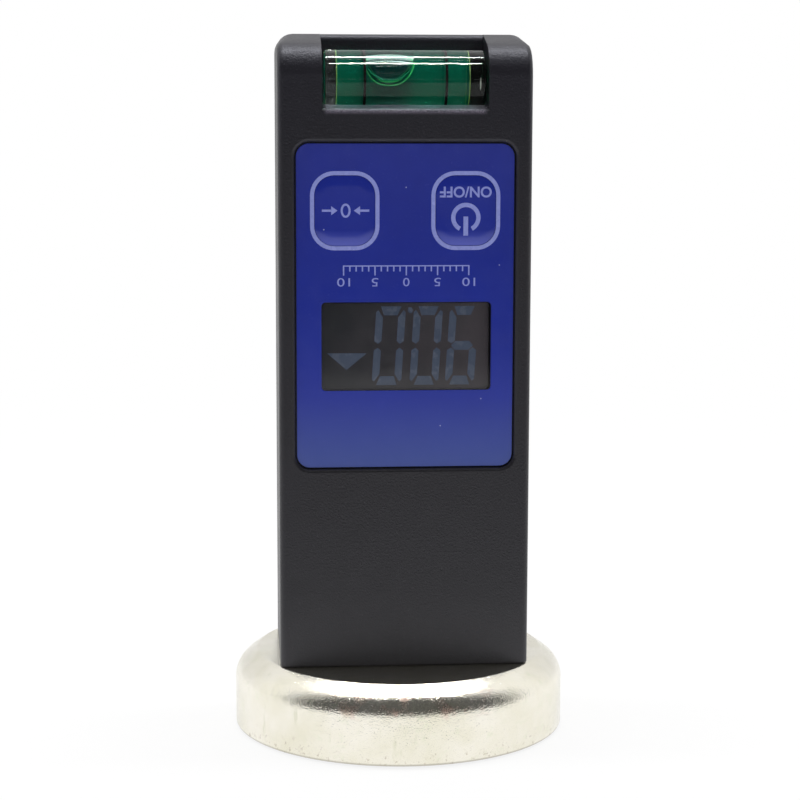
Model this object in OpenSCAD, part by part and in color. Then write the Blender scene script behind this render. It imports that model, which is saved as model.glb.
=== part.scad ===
// Digital camber and caster gauge on a round magnetic base.
// Millimetres, +Z up. The origin is the centre of the base's rim, on the surface it stands on.
// The keys and the display face -Y, and the battery door is at the back, on +Y.

/* [Magnetic base] */
// Outer diameter of the pressed steel cup
cup_d = 66; // [64:1:80]
// Height of the cup, from its rim to its flat top
cup_h = 15; // [13:0.5:20]
// Outside radius where the cup's side turns into its shoulder
shoulder_r = 5; // [3.5:0.1:6]
// Length of the shoulder's straight slope
shoulder_len = 2.8; // [1:0.1:3.5]
// Fall of the shoulder's straight slope, in degrees
shoulder_fall = 35; // [30:1:42]
// Radius of the turn from the flat top into the shoulder
shoulder_turn_r = 1; // [0.5:0.1:2]
// Inside radius of the cup's shoulder
inner_shoulder_r = 3.8; // [3:0.1:4.5]
// Sheet thickness of the cup
cup_wall = 2; // [1.8:0.1:2.5]
// Width of the resin ring between the cup and the magnet
resin_w = 2; // [1:0.1:3]
// Diameter of the recess in the magnet that goes over a wheel spindle
spindle_d = 30; // [26:1:36]
// How far the magnet lies above the rim
magnet_lift = 0.4; // [0.2:0.1:1]
// Radius of the rim's outer edge
rim_r = 0.5; // [0.3:0.1:0.8]
// Bevel of the magnet's lower edge
magnet_bevel = 0.5; // [0.3:0.1:0.8]
// Radius of the circle of the base screws
base_screw_ring = 9; // [8:0.25:9.5]

/* [Case] */
// Width of the case
case_w = 48.5; // [47:0.5:56]
// Depth of the case, front to back
case_d = 32; // [31.5:0.25:36]
// Height of the case without the base
case_h = 122.3; // [120:0.5:140]
// Thickness of the case's walls
wall = 2; // [1.6:0.1:2.4]
// Thickness of the front wall behind the panel
front_wall = 2.5; // [2.3:0.1:2.8]
// Thickness of the case's floor
floor_t = 2.5; // [2:0.1:3]
// Radius of the upright edges
edge_r = 1.3; // [0.9:0.1:2]
// Bevel round the case's foot
foot_bevel = 0.3; // [0.2:0.1:0.8]
// Radius of the top corners, seen from the front
crown_r = 3.2; // [2:0.1:4.5]
// Radius of the brow, where the top turns down into the front
brow_r = 6.4; // [3.5:0.1:7]
// Fall of the top towards the brow, in degrees
brow_slope = 16; // [10:1:20]
// How far behind the front the top starts to fall
crest_depth = 11.2; // [9:0.1:12]
// Depth of the rear shell, from the seam to the back
rear_depth = 12; // [11.7:0.1:12.5]
// Width and depth of the groove along the seam
seam_w = 0.3; // [0.2:0.05:0.5]

/* [Vial] */
// Outside diameter of the vial
vial_d = 11; // [10.5:0.1:11.5]
// Length of the vial
vial_len = 30.7; // [29:0.1:31]
// Radial wall of the vial's tube
vial_wall = 1.1; // [0.9:0.1:1.3]
// Length of each closed end of the vial
vial_end = 2.8; // [2:0.1:3.5]
// Distance between the two indicator rings
ring_gap = 15.5; // [13:0.5:17]
// Width of an indicator ring
ring_w = 0.5; // [0.4:0.1:0.9]
// Depth of an indicator ring in the vial's surface
ring_t = 0.15; // [0.1:0.05:0.3]
// Width of the notch that holds the vial
notch_w = 31.6; // [31.4:0.1:33]
// How far the notch's floor lies below the top of the case
notch_drop = 13.45; // [13:0.05:14.5]
// How far the vial sinks into its cradle
cradle_depth = 0.65; // [0.3:0.05:1]
// Radius of the notch's outer edge
notch_edge_r = 1; // [0.6:0.1:1.3]
// How far the notch's floor falls towards the front, in degrees
notch_fall = 16; // [10:1:20]
// Radius of the edge at the top of the notch's back wall
notch_top_r = 1.5; // [0.5:0.1:1.8]
// Radius of the notch's lower corners
notch_corner_r = 1; // [0.5:0.1:2]
// Length of the bubble
bubble_len = 9.6; // [8:0.1:10.5]
// Radius of the bubble
bubble_r = 1.9; // [1.5:0.1:2]
// Where the bubble's middle rests, from the middle of the vial
bubble_rest = -3; // [-3.5:0.1:3.5]

/* [Panel] */
// Width of the printed film
film_w = 41.6; // [40.5:0.1:42]
// Height of the printed film
film_h = 62.1; // [60:0.1:64]
// Corner radius of the printed film
film_r = 2.5; // [1.5:0.1:4]
// Thickness of the printed film
film_t = 0.5; // [0.3:0.05:0.7]
// How far the film's lower edge lies above the case's foot
film_up = 39.5; // [38:0.1:41]
// How far the film lies below the front of the case
film_sink = 0.8; // [0.6:0.05:1]
// Radius of the rounded lip round the film
lip_r = 0.9; // [0.5:0.05:1.2]
// Gap between the film and its recess
film_gap = 0.25; // [0.1:0.05:0.4]
// Width of the display window
window_w = 33.2; // [30:0.1:34]
// Height of the display window
window_h = 17.6; // [16:0.1:18]
// Corner radius of the display window
window_r = 0.8; // [0.4:0.1:1.5]
// How far the window's lower edge lies above the film's
window_up = 14.6; // [14:0.1:16]
// How far the window's edge is backed by the case
window_ledge = 0.4; // [0.2:0.1:0.8]

/* [Keys] */
// Width of a key
key_w = 11.6; // [10:0.1:12.5]
// Height of a key
key_h = 13.4; // [12:0.1:14]
// Corner radius of a key
key_r = 3.8; // [2.5:0.1:4.5]
// Distance between the keys' middles
key_pitch = 23.1; // [22:0.1:24]
// How far the keys' middles lie below the film's upper edge
key_down = 12.7; // [12.2:0.1:13]
// How far a key stands proud of the film
key_proud = 0.25; // [0.15:0.05:0.4]
// Bevel round the face of a key
key_bevel = 0.5; // [0.2:0.05:0.8]
// Width of the flange that keeps a key behind the film
key_flange = 0.5; // [0.3:0.05:0.7]
// Travel of a key
key_travel = 0.4; // [0.2:0.05:0.5]
// Gap round a key in the film
key_gap = 0.1; // [0.08:0.01:0.2]
// Diameter of a key's plunger
plunger_d = 3.4; // [2.8:0.1:4]
// Width of a switch's housing
switch_w = 6; // [5.6:0.1:6.2]
// Height of a switch's housing off the board
switch_h = 3.4; // [3:0.1:3.8]
// Thickness of a key's flange
flange_t = 0.5; // [0.4:0.05:0.6]
// How far a plunger reaches into its switch
plunger_in = 1; // [0.6:0.1:1.5]

/* [Display] */
// Width of the display glass
lcd_w = 37; // [36:0.1:38]
// Height of the display glass
lcd_h = 24; // [23:0.1:24.6]
// Thickness of the display glass
lcd_t = 2.2; // [1.8:0.1:2.4]
// Width of a rubber connector strip
strip_w = 1.6; // [1.2:0.1:1.8]
// Side wall of the frame that holds the display
lcd_frame_wall = 1; // [0.8:0.1:1.2]

/* [Circuit board] */
// Width of the circuit board
pcb_w = 40; // [39.6:0.1:41]
// Height of the circuit board
pcb_h = 68; // [67:0.5:69]
// Thickness of the circuit board
pcb_t = 1.6; // [1.2:0.1:2]
// How far the board's lower edge lies above the case's foot
pcb_up = 29; // [28:0.5:30]
// Gap between the front wall and the board
pcb_stand = 5.3; // [5:0.1:5.6]
// How far the board's screws lie in from its edges
pcb_screw_in = 3; // [2.8:0.1:3.2]
// Width of the controller chip
chip_w = 10; // [7:0.5:11]
// Thickness of the controller chip
chip_t = 1.4; // [1:0.1:2]
// How far the chip's middle lies above the board's lower edge
chip_up = 48; // [46:0.5:49]
// Reach of the chip's pins past its body
pin_len = 1; // [0.6:0.1:1.2]
// Thickness of the chip's pins
pin_t = 0.4; // [0.2:0.1:0.6]
// Width of the tilt sensor
sensor_w = 4; // [3:0.5:6]
// Thickness of the tilt sensor
sensor_t = 1; // [0.8:0.1:1.4]
// How far the sensor's middle lies above the board's lower edge
sensor_up = 16; // [12:0.5:18]
// Length of the crystal's can
can_w = 10; // [8:0.5:11]
// Width of the crystal's can
can_h = 4; // [3.4:0.1:5]
// Height of the crystal's can off the board
can_t = 3.2; // [2:0.1:3.8]
// How far the crystal lies right of the middle
can_x = 11; // [10:0.5:12]
// How far the crystal and the large capacitor lie above the board's lower edge
can_up = 33; // [31:0.5:35]
// Radius of the large capacitor
cap_r = 2.5; // [2:0.1:3]
// Height of the large capacitor off the board
cap_h = 5; // [4:0.1:6]
// How far the large capacitor lies left of the middle
cap_x = 12; // [11:0.5:13]
// Length of a small capacitor
small_cap_w = 2; // [1.2:0.1:2.4]
// Height and thickness of a small capacitor
small_cap_t = 1.2; // [0.8:0.1:1.4]
// Distance between the small capacitors
small_cap_pitch = 4; // [3.5:0.1:4.5]

/* [Batteries] */
// Diameter of a battery cell
cell_d = 10.5; // [10:0.1:10.7]
// Length of a battery cell with its button
cell_len = 44.5; // [43:0.1:45]
// Length of a contact spring
spring_len = 5.7; // [5:0.1:7]
// Diameter of the spring wire
wire_d = 0.7; // [0.5:0.05:0.8]
// Turns of a contact spring
spring_turns = 3.5; // [3:0.5:3.5]
// Thickness of the contact plates
contact_t = 0.4; // [0.3:0.05:0.6]
// Wall of the battery bay
bay_wall = 1.5; // [1.2:0.1:1.8]
// How far the bay's lower end lies above the case's foot
bay_up = 34; // [33:0.5:36]
// Thickness of the battery door
door_t = 2; // [1.8:0.1:2.2]
// Radius of the door's hinge barrel
barrel_r = 1.6; // [1.4:0.05:1.8]
// Radius of the door's pivots
pivot_r = 0.9; // [0.7:0.05:1]
// Length of the door's pivots
pivot_len = 1.6; // [1:0.1:2]
// How far the door reaches over the bay on each side
door_lap = 2.7; // [2.4:0.1:3]
// Radius of the door's upper corners
door_corner_r = 1.5; // [1:0.1:3]
// Wall of the ledge behind the door and of its hinge's bed
ledge_t = 1.5; // [1.2:0.1:1.8]
// Distance between the grip grooves on the door
grip_pitch = 1.8; // [1.7:0.1:2.4]
// Radius of the grip grooves
grip_r = 0.8; // [0.5:0.05:0.8]
// Radius of the thumb dish at the top of the door
dish_r = 8; // [6:0.5:12]
// Depth of the thumb dish
dish_depth = 1.1; // [0.6:0.1:1.3]
// Radius of a cell's button
button_r = 1.9; // [1.6:0.1:2.2]
// Height of a cell's button
button_h = 0.9; // [0.7:0.1:1.2]
// Radius of the edges of a cell's wrap
cell_edge_r = 0.6; // [0.3:0.1:1]
// Radius of a contact spring where it stands on its plate
coil_big = 3.6; // [3:0.1:4]
// Radius of a contact spring where it meets the cell
coil_small = 2.2; // [1.8:0.1:2.6]
// Width of the tails that join the contacts to the board
tail_w = 3; // [2:0.1:4]

/* [Screws] */
// Shank radius of the case screws
case_screw_r = 1.25; // [1:0.05:1.4]
// Head radius of the case screws
case_head_r = 2.4; // [2:0.1:2.6]
// Height of the case screws' heads
case_head_h = 1.8; // [1.4:0.1:2.2]
// Radius of the bosses round the case screws
boss_r = 3.6; // [3.4:0.1:3.8]
// How far the case screws lie in from the case's sides
boss_in = 4.45; // [4.2:0.05:4.8]
// Height of the lower case screws above the case's foot
boss_low = 12; // [11:0.5:16]
// How far the upper case screws lie below the notch
boss_high = 6.85; // [6.5:0.05:7.5]
// Shank radius of the base screws
base_screw_r = 1.5; // [1.3:0.05:1.75]
// Head radius of the base screws
base_head_r = 2.9; // [2.6:0.1:3.2]
// Shank radius of the board's screws
pcb_screw_r = 0.9; // [0.8:0.05:1]
// Radius of the posts that carry the board
post_r = 1.9; // [1.7:0.1:2.2]
// Thickness of the tapped steel plate in the case's foot
plate_t = 3; // [2:0.1:4]
// Gap between the plate and the case's walls
plate_gap = 2.25; // [1:0.05:2.5]
// Thickness of the ribs that hold the plate down
rib_t = 1.5; // [1:0.1:2]
// Reach of those ribs from the walls
rib_depth = 4.5; // [4:0.1:6]
// Length of the case screws under the head
case_screw_len = 13; // [11:0.5:16]
// How far the case screws' heads sink below the back
head_sink = 6; // [5:0.1:7]
// How far the base screws stand out of the plate
base_screw_out = 0.5; // [0.2:0.1:2]

/* [Clearances] */
// Gap round a shank in its hole and a pivot in its socket
thread_gap = 0.05; // [0.02:0.01:0.1]
// Gap round loose screws and pieces that drop in
drop_gap = 0.2; // [0.1:0.05:0.3]
// Gap between the moving pieces and what they pass
swing_gap = 0.3; // [0.25:0.05:0.4]

/* [Hidden] */
$fn = 64;
HULL_FN = 24;
eps = 0.01;
over = 2;

// Case
case_z = cup_h;
case_top = case_z + case_h;
front_y = -case_d / 2;
back_y = case_d / 2;
seam_y = back_y - rear_depth;
inner_front = front_y + front_wall;
inner_back = back_y - wall;
inner_half = case_w / 2 - wall;
floor_z = case_z + floor_t;
crest_y = front_y + crest_depth;
brow_y = front_y + brow_r;
brow_z = case_top - (crest_y - brow_y) * tan(brow_slope) - brow_r / cos(brow_slope);
slope_drop = wall / cos(brow_slope);

// Vial
notch_z = case_top - notch_drop;
vial_r = vial_d / 2;
vial_bore_r = vial_r - vial_wall;
vial_y = front_y + vial_r;
vial_z = notch_z + vial_r - cradle_depth;
notch_back = vial_y + vial_r + thread_gap;
cradle_half = sqrt(pow(vial_r, 2) - pow(vial_r - cradle_depth, 2));
fall_y = vial_y - cradle_half;
notch_front_z = notch_z - (fall_y - front_y) * tan(notch_fall);
fluid_half = vial_len / 2 - vial_end;
channel_r = bubble_r + swing_gap;
channel_up = vial_bore_r - channel_r;
channel_half = fluid_half - swing_gap;

// Panel
film_z = case_z + film_up;
film_mid_z = film_z + film_h / 2;
film_y = front_y + film_sink;
film_back = film_y + film_t;
window_mid_z = film_z + window_up + window_h / 2;
key_z = film_z + film_h - key_down;
flange_y = film_back + thread_gap;
flange_back = flange_y + flange_t;

// Circuit board and display
pcb_y = inner_front + pcb_stand;
pcb_back = pcb_y + pcb_t;
pcb_z = case_z + pcb_up;
pcb_mid_z = pcb_z + pcb_h / 2;
post_x = pcb_w / 2 - pcb_screw_in;
lcd_frame_top = window_mid_z + lcd_h / 2 + drop_gap + lcd_frame_wall;
key_hole_low = key_z - key_h / 2 - key_flange - swing_gap;
post_zs = [pcb_z + pcb_screw_in, (lcd_frame_top + key_hole_low) / 2];
lcd_y = inner_front;
lcd_back = lcd_y + lcd_t;
strip_mid = lcd_h / 2 - strip_w / 2 - drop_gap;
strip_len = lcd_w - 2;
light_h = 2 * (strip_mid - strip_w / 2 - 2 * drop_gap - lcd_frame_wall);
light_w = lcd_w - 4;
switch_y = pcb_y - switch_h;
switch_bore = plunger_in + key_travel + swing_gap;
chip_z = pcb_z + chip_up;
chip_pins = 8;
sensor_z = pcb_z + sensor_up;
can_z = pcb_z + can_up;
small_cap_z = (sensor_z + can_z) / 2;

// Battery bay and door
door_y = back_y - door_t;
cell_r = cell_d / 2;
cell_y = door_y - 2 * drop_gap - cell_r;
cell_x = cell_r + drop_gap / 2;
bay_half = 2 * cell_r + 2 * drop_gap;
bay_y = cell_y - cell_r - drop_gap;
bay_z = case_z + bay_up;
bay_len = cell_len + spring_len + 2 * contact_t;
bay_top = bay_z + bay_len;
door_half = bay_half + door_lap;
barrel_y = back_y - barrel_r;
barrel_z = bay_z - bay_wall - barrel_r - swing_gap;
hinge_low = barrel_z - barrel_r - swing_gap - ledge_t;
door_top = bay_top + door_lap;
grip_half = door_half * 0.6;
grip_top = door_top - dish_r / 2;
grip_count = 7;

// Foot
plate_w = case_w - 2 * (wall + plate_gap);
plate_d = case_d - front_wall - wall - 2 * plate_gap;
plate_mid_y = (inner_front + inner_back) / 2;
plate_z = floor_z;
plate_top = plate_z + plate_t;
base_screw_angles = [90, 210, 330];
base_head_h = base_head_r - base_screw_r;
cup_inner_r = cup_d / 2 - cup_wall;
side_top = cup_h - shoulder_turn_r - (shoulder_r - shoulder_turn_r) * cos(shoulder_fall)
    - shoulder_len * sin(shoulder_fall);
flat_r = cup_d / 2 - shoulder_r + (shoulder_r - shoulder_turn_r) * sin(shoulder_fall)
    - shoulder_len * cos(shoulder_fall);
magnet_r = cup_inner_r - resin_w;
magnet_top = cup_h - cup_wall;
resin_top = magnet_top - inner_shoulder_r;

// Case screws
boss_x = case_w / 2 - boss_in;
boss_zs = [case_z + boss_low, notch_z - boss_high];
head_seat_y = back_y - head_sink;
counterbore_r = case_head_r + drop_gap;

// ---- Shared shapes ----

// A flat rectangle with round corners, centred
module rounded_rect(w, h, r) {
    square([w - 2 * r, h], center = true);
    square([w, h - 2 * r], center = true);
    for (x = [-1, 1], y = [-1, 1])
        translate([x * (w / 2 - r), y * (h / 2 - r)]) circle(r);
}

// Lays a flat shape drawn in X and Z at the depth y, t thick towards the back
module upright(y, t) {
    translate([0, y + t, 0]) rotate([90, 0, 0]) linear_extrude(t) children();
}

// A round bar along Y from y, len long towards the back
module bar_y(x, y, z, r, len) {
    translate([x, y, z]) rotate([-90, 0, 0]) cylinder(r = r, h = len);
}

// A round bar along X from x, len long towards the right
module bar_x(x, y, z, r, len) {
    translate([x, y, z]) rotate([0, 90, 0]) cylinder(r = r, h = len);
}

// A block given by its lowest and highest corners
module block(low, high) {
    translate(low) cube(high - low);
}

// A disc of radius r and thickness t along Z, whose upper edge has the radius e
module soft_disc(r, e, t) {
    rotate_extrude($fn = HULL_FN) {
        square([r - e, t]);
        square([r, t - e]);
        translate([r - e, t - e]) intersection() {
            circle(e, $fn = HULL_FN);
            square(e);
        }
    }
}

// A screw along Z with its seat at the origin: the head is above and the shank below
module pan_screw(r, head_r, head_h, len) {
    difference() {
        union() {
            cylinder(r = head_r, h = head_h * 0.6);
            translate([0, 0, head_h * 0.6]) cylinder(r1 = head_r, r2 = head_r * 0.72, h = head_h * 0.4);
            translate([0, 0, -len + r]) cylinder(r = r, h = len - r + eps);
            translate([0, 0, -len]) cylinder(r1 = r * 0.3, r2 = r, h = r);
        }
        cross_recess(head_r, head_h);
    }
}

// The crossed slots in a screw's head, cut down from the height h
module cross_recess(head_r, h) {
    for (a = [0, 90])
        rotate([0, 0, a]) translate([-head_r * 0.6, -head_r * 0.12, h * 0.45])
            cube([head_r * 1.2, head_r * 0.24, h]);
}

// The section of a cut that rounds off a lip: X leads away from the opening and Y into the depth.
// The round is a trace larger than the lip, so that it meets the faces at an angle and not as a sliver.
module lip_profile() {
    difference() {
        translate([-eps, -over]) square([lip_r + eps, over + lip_r]);
        translate([lip_r, lip_r]) circle(lip_r * 1.02);
    }
}

// A cut that rounds off the lip round an opening of w by h, with corners of radius r, in the case's front
module lip_cut(w, h, r) {
    long = [w - 2 * r, h - 2 * r];
    translate([0, front_y, 0]) rotate([90, 0, 0]) mirror([0, 0, 1])
    for (half = [0, 180]) rotate([0, 0, half]) {
        translate([w / 2, -long[1] / 2, 0]) rotate([90, 0, 0]) mirror([0, 0, 1])
            linear_extrude(long[1]) lip_profile();
        translate([-long[0] / 2, h / 2, 0]) rotate([90, 0, 90]) linear_extrude(long[0]) lip_profile();
        for (x = [0, 1])
            translate([(x - 0.5) * long[0], long[1] / 2, 0]) rotate([0, 0, 90 - x * 90])
                rotate_extrude(angle = 90) translate([r, 0]) lip_profile();
    }
}

// A cut that rounds an edge along X at y and z to the radius r; the solid is behind and below it,
// and its top falls towards the edge by the angle fall
module edge_cut(y, z, r, half_len, fall = 0) {
    reach = r * tan(45 - fall / 2);
    far = r + over;
    translate([0, y + r, z - reach]) difference() {
        translate([-half_len, 0, 0]) rotate([90, 0, 90]) linear_extrude(2 * half_len)
            polygon([[-far, 0], [0, 0], [-far * sin(fall), far * cos(fall)], [-far, far * cos(fall)]]);
        bar_x(-half_len - over, 0, 0, r, 2 * (half_len + over));
    }
}

// One node of a coil that narrows from coil_big to coil_small as it rises
function coil_point(t) = [
    (coil_big + (coil_small - coil_big) * t) * cos(360 * spring_turns * t),
    (coil_big + (coil_small - coil_big) * t) * sin(360 * spring_turns * t),
    wire_d / 2 + (spring_len - wire_d) * t
];

// The corner at the angle a of the wire's section, which stands upright along the coil's radius
function wire_corner(t, a) =
    let (p = coil_point(t), out = [cos(360 * spring_turns * t), sin(360 * spring_turns * t), 0])
    p + wire_d / 2 * (cos(a) * out + sin(a) * [0, 0, 1]);

// A narrowing compression spring on Z, as one unbroken tube
module coil_spring() {
    rings = ceil(8 * spring_turns);
    sides = 6;
    points = [for (i = [0:rings], j = [0:sides - 1]) wire_corner(i / rings, -j * 360 / sides)];
    skin = [for (i = [0:rings - 1], j = [0:sides - 1], half = [0, 1])
        let (a = i * sides + j, b = i * sides + (j + 1) % sides)
        half == 0 ? [a, b, b + sides] : [a, b + sides, a + sides]];
    first_cap = [for (j = [1:sides - 2]) [0, j + 1, j]];
    last = rings * sides;
    last_cap = [for (j = [1:sides - 2]) [last, last + j, last + j + 1]];
    polyhedron(points = points, faces = concat(skin, first_cap, last_cap));
}
coil_gap = min([for (i = [0:40]) norm(coil_point(i / 80 + 1 / spring_turns) - coil_point(i / 80))]) - wire_d;
echo(least_gap_between_coils = coil_gap);

// ---- Magnetic base ----

// The cavity's outline from the axis out, with a shoulder of radius r at the top
module cavity_profile(outer_r, h, r) {
    square([outer_r - r, h]);
    square([outer_r, h - r]);
    translate([outer_r - r, h - r]) circle(r);
}

// The cup's outline from the axis out: flat top, small turn, straight slope, round side and rim
module cup_profile() {
    outer_r = cup_d / 2;
    r = shoulder_r;
    t = shoulder_turn_r;
    steep = 90 - shoulder_fall;
    out = [cos(steep), sin(steep)];
    down = [sin(steep), -cos(steep)];
    turn = [flat_r, cup_h - t];
    side = [outer_r - r, side_top];
    square([flat_r, cup_h]);
    translate([0, rim_r]) square([outer_r, side_top - rim_r]);
    square([outer_r - rim_r, side_top]);
    polygon([[0, side_top], side, side + r * out, turn + t * out, turn, [0, turn[1]]]);
    translate(turn) circle(t);
    translate(side) circle(r);
    translate([outer_r - rim_r, rim_r]) circle(rim_r);
}

module base_cup() {
    color("gainsboro") difference() {
        rotate_extrude() cup_profile();
        translate([0, 0, -eps]) rotate_extrude()
            cavity_profile(cup_inner_r, magnet_top + eps, inner_shoulder_r);
        base_screw_holes(base_screw_r + drop_gap);
        for (a = base_screw_angles)
            rotate([0, 0, a]) translate([base_screw_ring, 0, magnet_top - eps])
                cylinder(r1 = base_head_r, r2 = base_screw_r, h = base_head_h);
    }
}

// Shanks or holes of radius r on the base screws' places, through the cup and the case's foot
module base_screw_holes(r) {
    for (a = base_screw_angles)
        rotate([0, 0, a]) translate([base_screw_ring, 0, magnet_top + eps])
            cylinder(r = r, h = plate_top - magnet_top + over);
}

module ring_magnet() {
    top_bevel = max(magnet_bevel, magnet_r - cup_inner_r + inner_shoulder_r);
    hole_r = spindle_d / 2;
    color("dimgray") rotate_extrude() polygon([
        [hole_r, magnet_lift],
        [magnet_r - magnet_bevel, magnet_lift],
        [magnet_r, magnet_lift + magnet_bevel],
        [magnet_r, magnet_top - top_bevel],
        [magnet_r - top_bevel, magnet_top],
        [hole_r, magnet_top]
    ]);
}

module resin_ring() {
    low = magnet_lift + 2 * magnet_bevel;
    color("black") translate([0, 0, low]) difference() {
        cylinder(r = cup_inner_r, h = resin_top - low);
        translate([0, 0, -over]) cylinder(r = magnet_r, h = resin_top + 2 * over);
    }
}

module base_screws() {
    shank = plate_top + base_screw_out - magnet_top;
    color("silver") for (a = base_screw_angles)
        rotate([0, 0, a]) translate([base_screw_ring, 0, magnet_top]) difference() {
            union() {
                cylinder(r = base_screw_r, h = shank);
                cylinder(r1 = base_head_r - thread_gap, r2 = base_screw_r, h = base_head_h);
            }
            translate([0, 0, -base_head_h]) cross_recess(base_head_r, base_head_h * 1.2);
        }
}

module foot_plate() {
    color("lightslategray") difference() {
        translate([0, plate_mid_y, plate_z]) linear_extrude(plate_t) rounded_rect(plate_w, plate_d, 2);
        base_screw_holes(base_screw_r + thread_gap);
    }
}

// ---- Case ----

// The whole outside of the case, filled
module case_outer() {
    side = case_w / 2;
    hull() {
        for (x = [-1, 1], y = [-1, 1])
            translate([x * (side - edge_r), y * (case_d / 2 - edge_r), case_z]) {
                cylinder(r = edge_r - foot_bevel, h = 1, $fn = HULL_FN);
                translate([0, 0, foot_bevel]) cylinder(r = edge_r, h = 1, $fn = HULL_FN);
            }
        for (x = [-1, 1]) {
            // crown: level from the back to the crest
            translate([x * (side - crown_r), back_y - 2 * edge_r, case_top - crown_r]) rotate([-90, 0, 0])
                soft_disc(crown_r, edge_r, 2 * edge_r);
            bar_y(x * (side - crown_r), crest_y, case_top - crown_r, crown_r, 1, $fn = HULL_FN);
            // brow: the round above the vial
            translate([x * (side - 2 * edge_r), brow_y, brow_z]) rotate([0, x * 90, 0])
                soft_disc(brow_r, edge_r, 2 * edge_r);
        }
    }
}

// The space inside the case, before anything that stands in it
module case_space() {
    brow_in = case_top - slope_drop - (crest_y - inner_front) * tan(brow_slope);
    translate([-inner_half, 0, 0]) rotate([90, 0, 90]) linear_extrude(2 * inner_half) polygon([
        [inner_front, floor_z],
        [inner_back, floor_z],
        [inner_back, case_top - wall],
        [crest_y, case_top - slope_drop],
        [inner_front, brow_in]
    ]);
}

// The groove that marks the seam on the outside, cut into the front shell
module seam_groove() {
    inner_h = case_h + 2 * crown_r - seam_w;
    difference() {
        upright(seam_y - seam_w, seam_w + over) translate([0, (case_z + case_top) / 2])
            square([case_w + 2 * over, case_h + 2 * over], center = true);
        upright(seam_y - seam_w - over, seam_w + 3 * over) translate([0, case_top - seam_w - inner_h / 2])
            rounded_rect(case_w - 2 * seam_w, inner_h, crown_r);
    }
}

// The ribs that hold the foot plate down, from the depth y towards the middle
module plate_rib(y, depth) {
    translate([-plate_w / 2, min(y, y + depth), plate_top + thread_gap])
        cube([plate_w, abs(depth), rib_t]);
}

module front_space() {
    difference() {
        intersection() {
            case_space();
            block([-case_w, front_y, case_z], [case_w, seam_y + eps, case_top]);
        }
        // wall round the vial's notch
        block([-notch_w / 2 - wall, front_y, notch_z - wall],
              [notch_w / 2 + wall, notch_back + wall, case_top]);
        for (x = [-1, 1], z = boss_zs)
            bar_y(x * boss_x, inner_front - eps, z, boss_r, seam_y - inner_front + 1);
        for (x = [-1, 1], z = post_zs)
            bar_y(x * post_x, inner_front - eps, z, post_r, pcb_stand + eps);
        plate_rib(inner_front - eps, rib_depth);
    }
}

// The notch in the top of the front, with the vial's cradle in its floor
module vial_notch() {
    h = notch_drop + 2 * over;
    upright(front_y - over, notch_back - front_y + over)
        translate([0, notch_z + h / 2]) rounded_rect(notch_w, h, notch_corner_r);
    // in front of the vial the floor falls away
    translate([0, fall_y, notch_z]) rotate([notch_fall, 0, 0]) upright(-vial_r - over, vial_r + over)
        translate([0, h / 2]) rounded_rect(notch_w, h, notch_corner_r);
    bar_x(-vial_len / 2 - thread_gap, vial_y, vial_z, vial_r + thread_gap, vial_len + 2 * thread_gap);
    edge_cut(front_y, notch_front_z, notch_edge_r, notch_w / 2, notch_fall);
    edge_cut(notch_back, case_top, notch_top_r, notch_w / 2);
}

// The recess for the film, with the openings behind the window and the keys
module panel_cuts() {
    recess_w = film_w + 2 * film_gap;
    recess_h = film_h + 2 * film_gap;
    recess_r = film_r + film_gap;
    wall_left = inner_front - film_back + 2 * eps;
    translate([0, 0, film_mid_z]) {
        upright(front_y - over, film_back - front_y + over) rounded_rect(recess_w, recess_h, recess_r);
        lip_cut(recess_w, recess_h, recess_r);
    }
    translate([0, 0, window_mid_z]) upright(film_back - eps, wall_left)
        rounded_rect(window_w - 2 * window_ledge, window_h - 2 * window_ledge, window_r);
    hole_grow = 2 * (key_flange + swing_gap);
    for (x = [-1, 1])
        translate([x * key_pitch / 2, 0, key_z]) upright(film_back - eps, wall_left)
            rounded_rect(key_w + hole_grow, key_h + hole_grow, key_r + hole_grow / 2);
}

module front_shell() {
    pilot = head_seat_y - case_screw_len - 1;
    color([0.13, 0.13, 0.14]) difference() {
        intersection() {
            case_outer();
            block([-case_w, front_y - over, case_z - over], [case_w, seam_y, case_top + over]);
        }
        front_space();
        vial_notch();
        panel_cuts();
        seam_groove();
        base_screw_holes(base_screw_r + drop_gap);
        for (x = [-1, 1], z = boss_zs)
            bar_y(x * boss_x, pilot, z, case_screw_r + thread_gap, seam_y - pilot + 1);
        for (x = [-1, 1], z = post_zs)
            bar_y(x * post_x, inner_front + 0.5, z, pcb_screw_r + thread_gap, pcb_stand);
    }
}

module rear_space() {
    outer_half = door_half + swing_gap;
    difference() {
        intersection() {
            case_space();
            block([-case_w, seam_y - eps, case_z], [case_w, back_y, case_top]);
        }
        for (x = [-1, 1], z = boss_zs)
            bar_y(x * boss_x, seam_y - over, z, boss_r, rear_depth + over);
        // the battery bay's walls
        block([-bay_half - bay_wall, bay_y - bay_wall, bay_z - bay_wall],
              [bay_half + bay_wall, back_y, bay_top + bay_wall]);
        // the ledge behind the door's edges
        block([-outer_half - ledge_t, door_y - ledge_t - thread_gap, barrel_z],
              [outer_half + ledge_t, back_y, door_top + swing_gap + ledge_t]);
        // the bed of the door's hinge
        block([-outer_half - pivot_len - ledge_t, barrel_y - barrel_r - swing_gap - ledge_t, hinge_low],
              [outer_half + pivot_len + ledge_t, back_y, barrel_z + barrel_r + swing_gap]);
        plate_rib(inner_back + eps, -rib_depth);
    }
}

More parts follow.
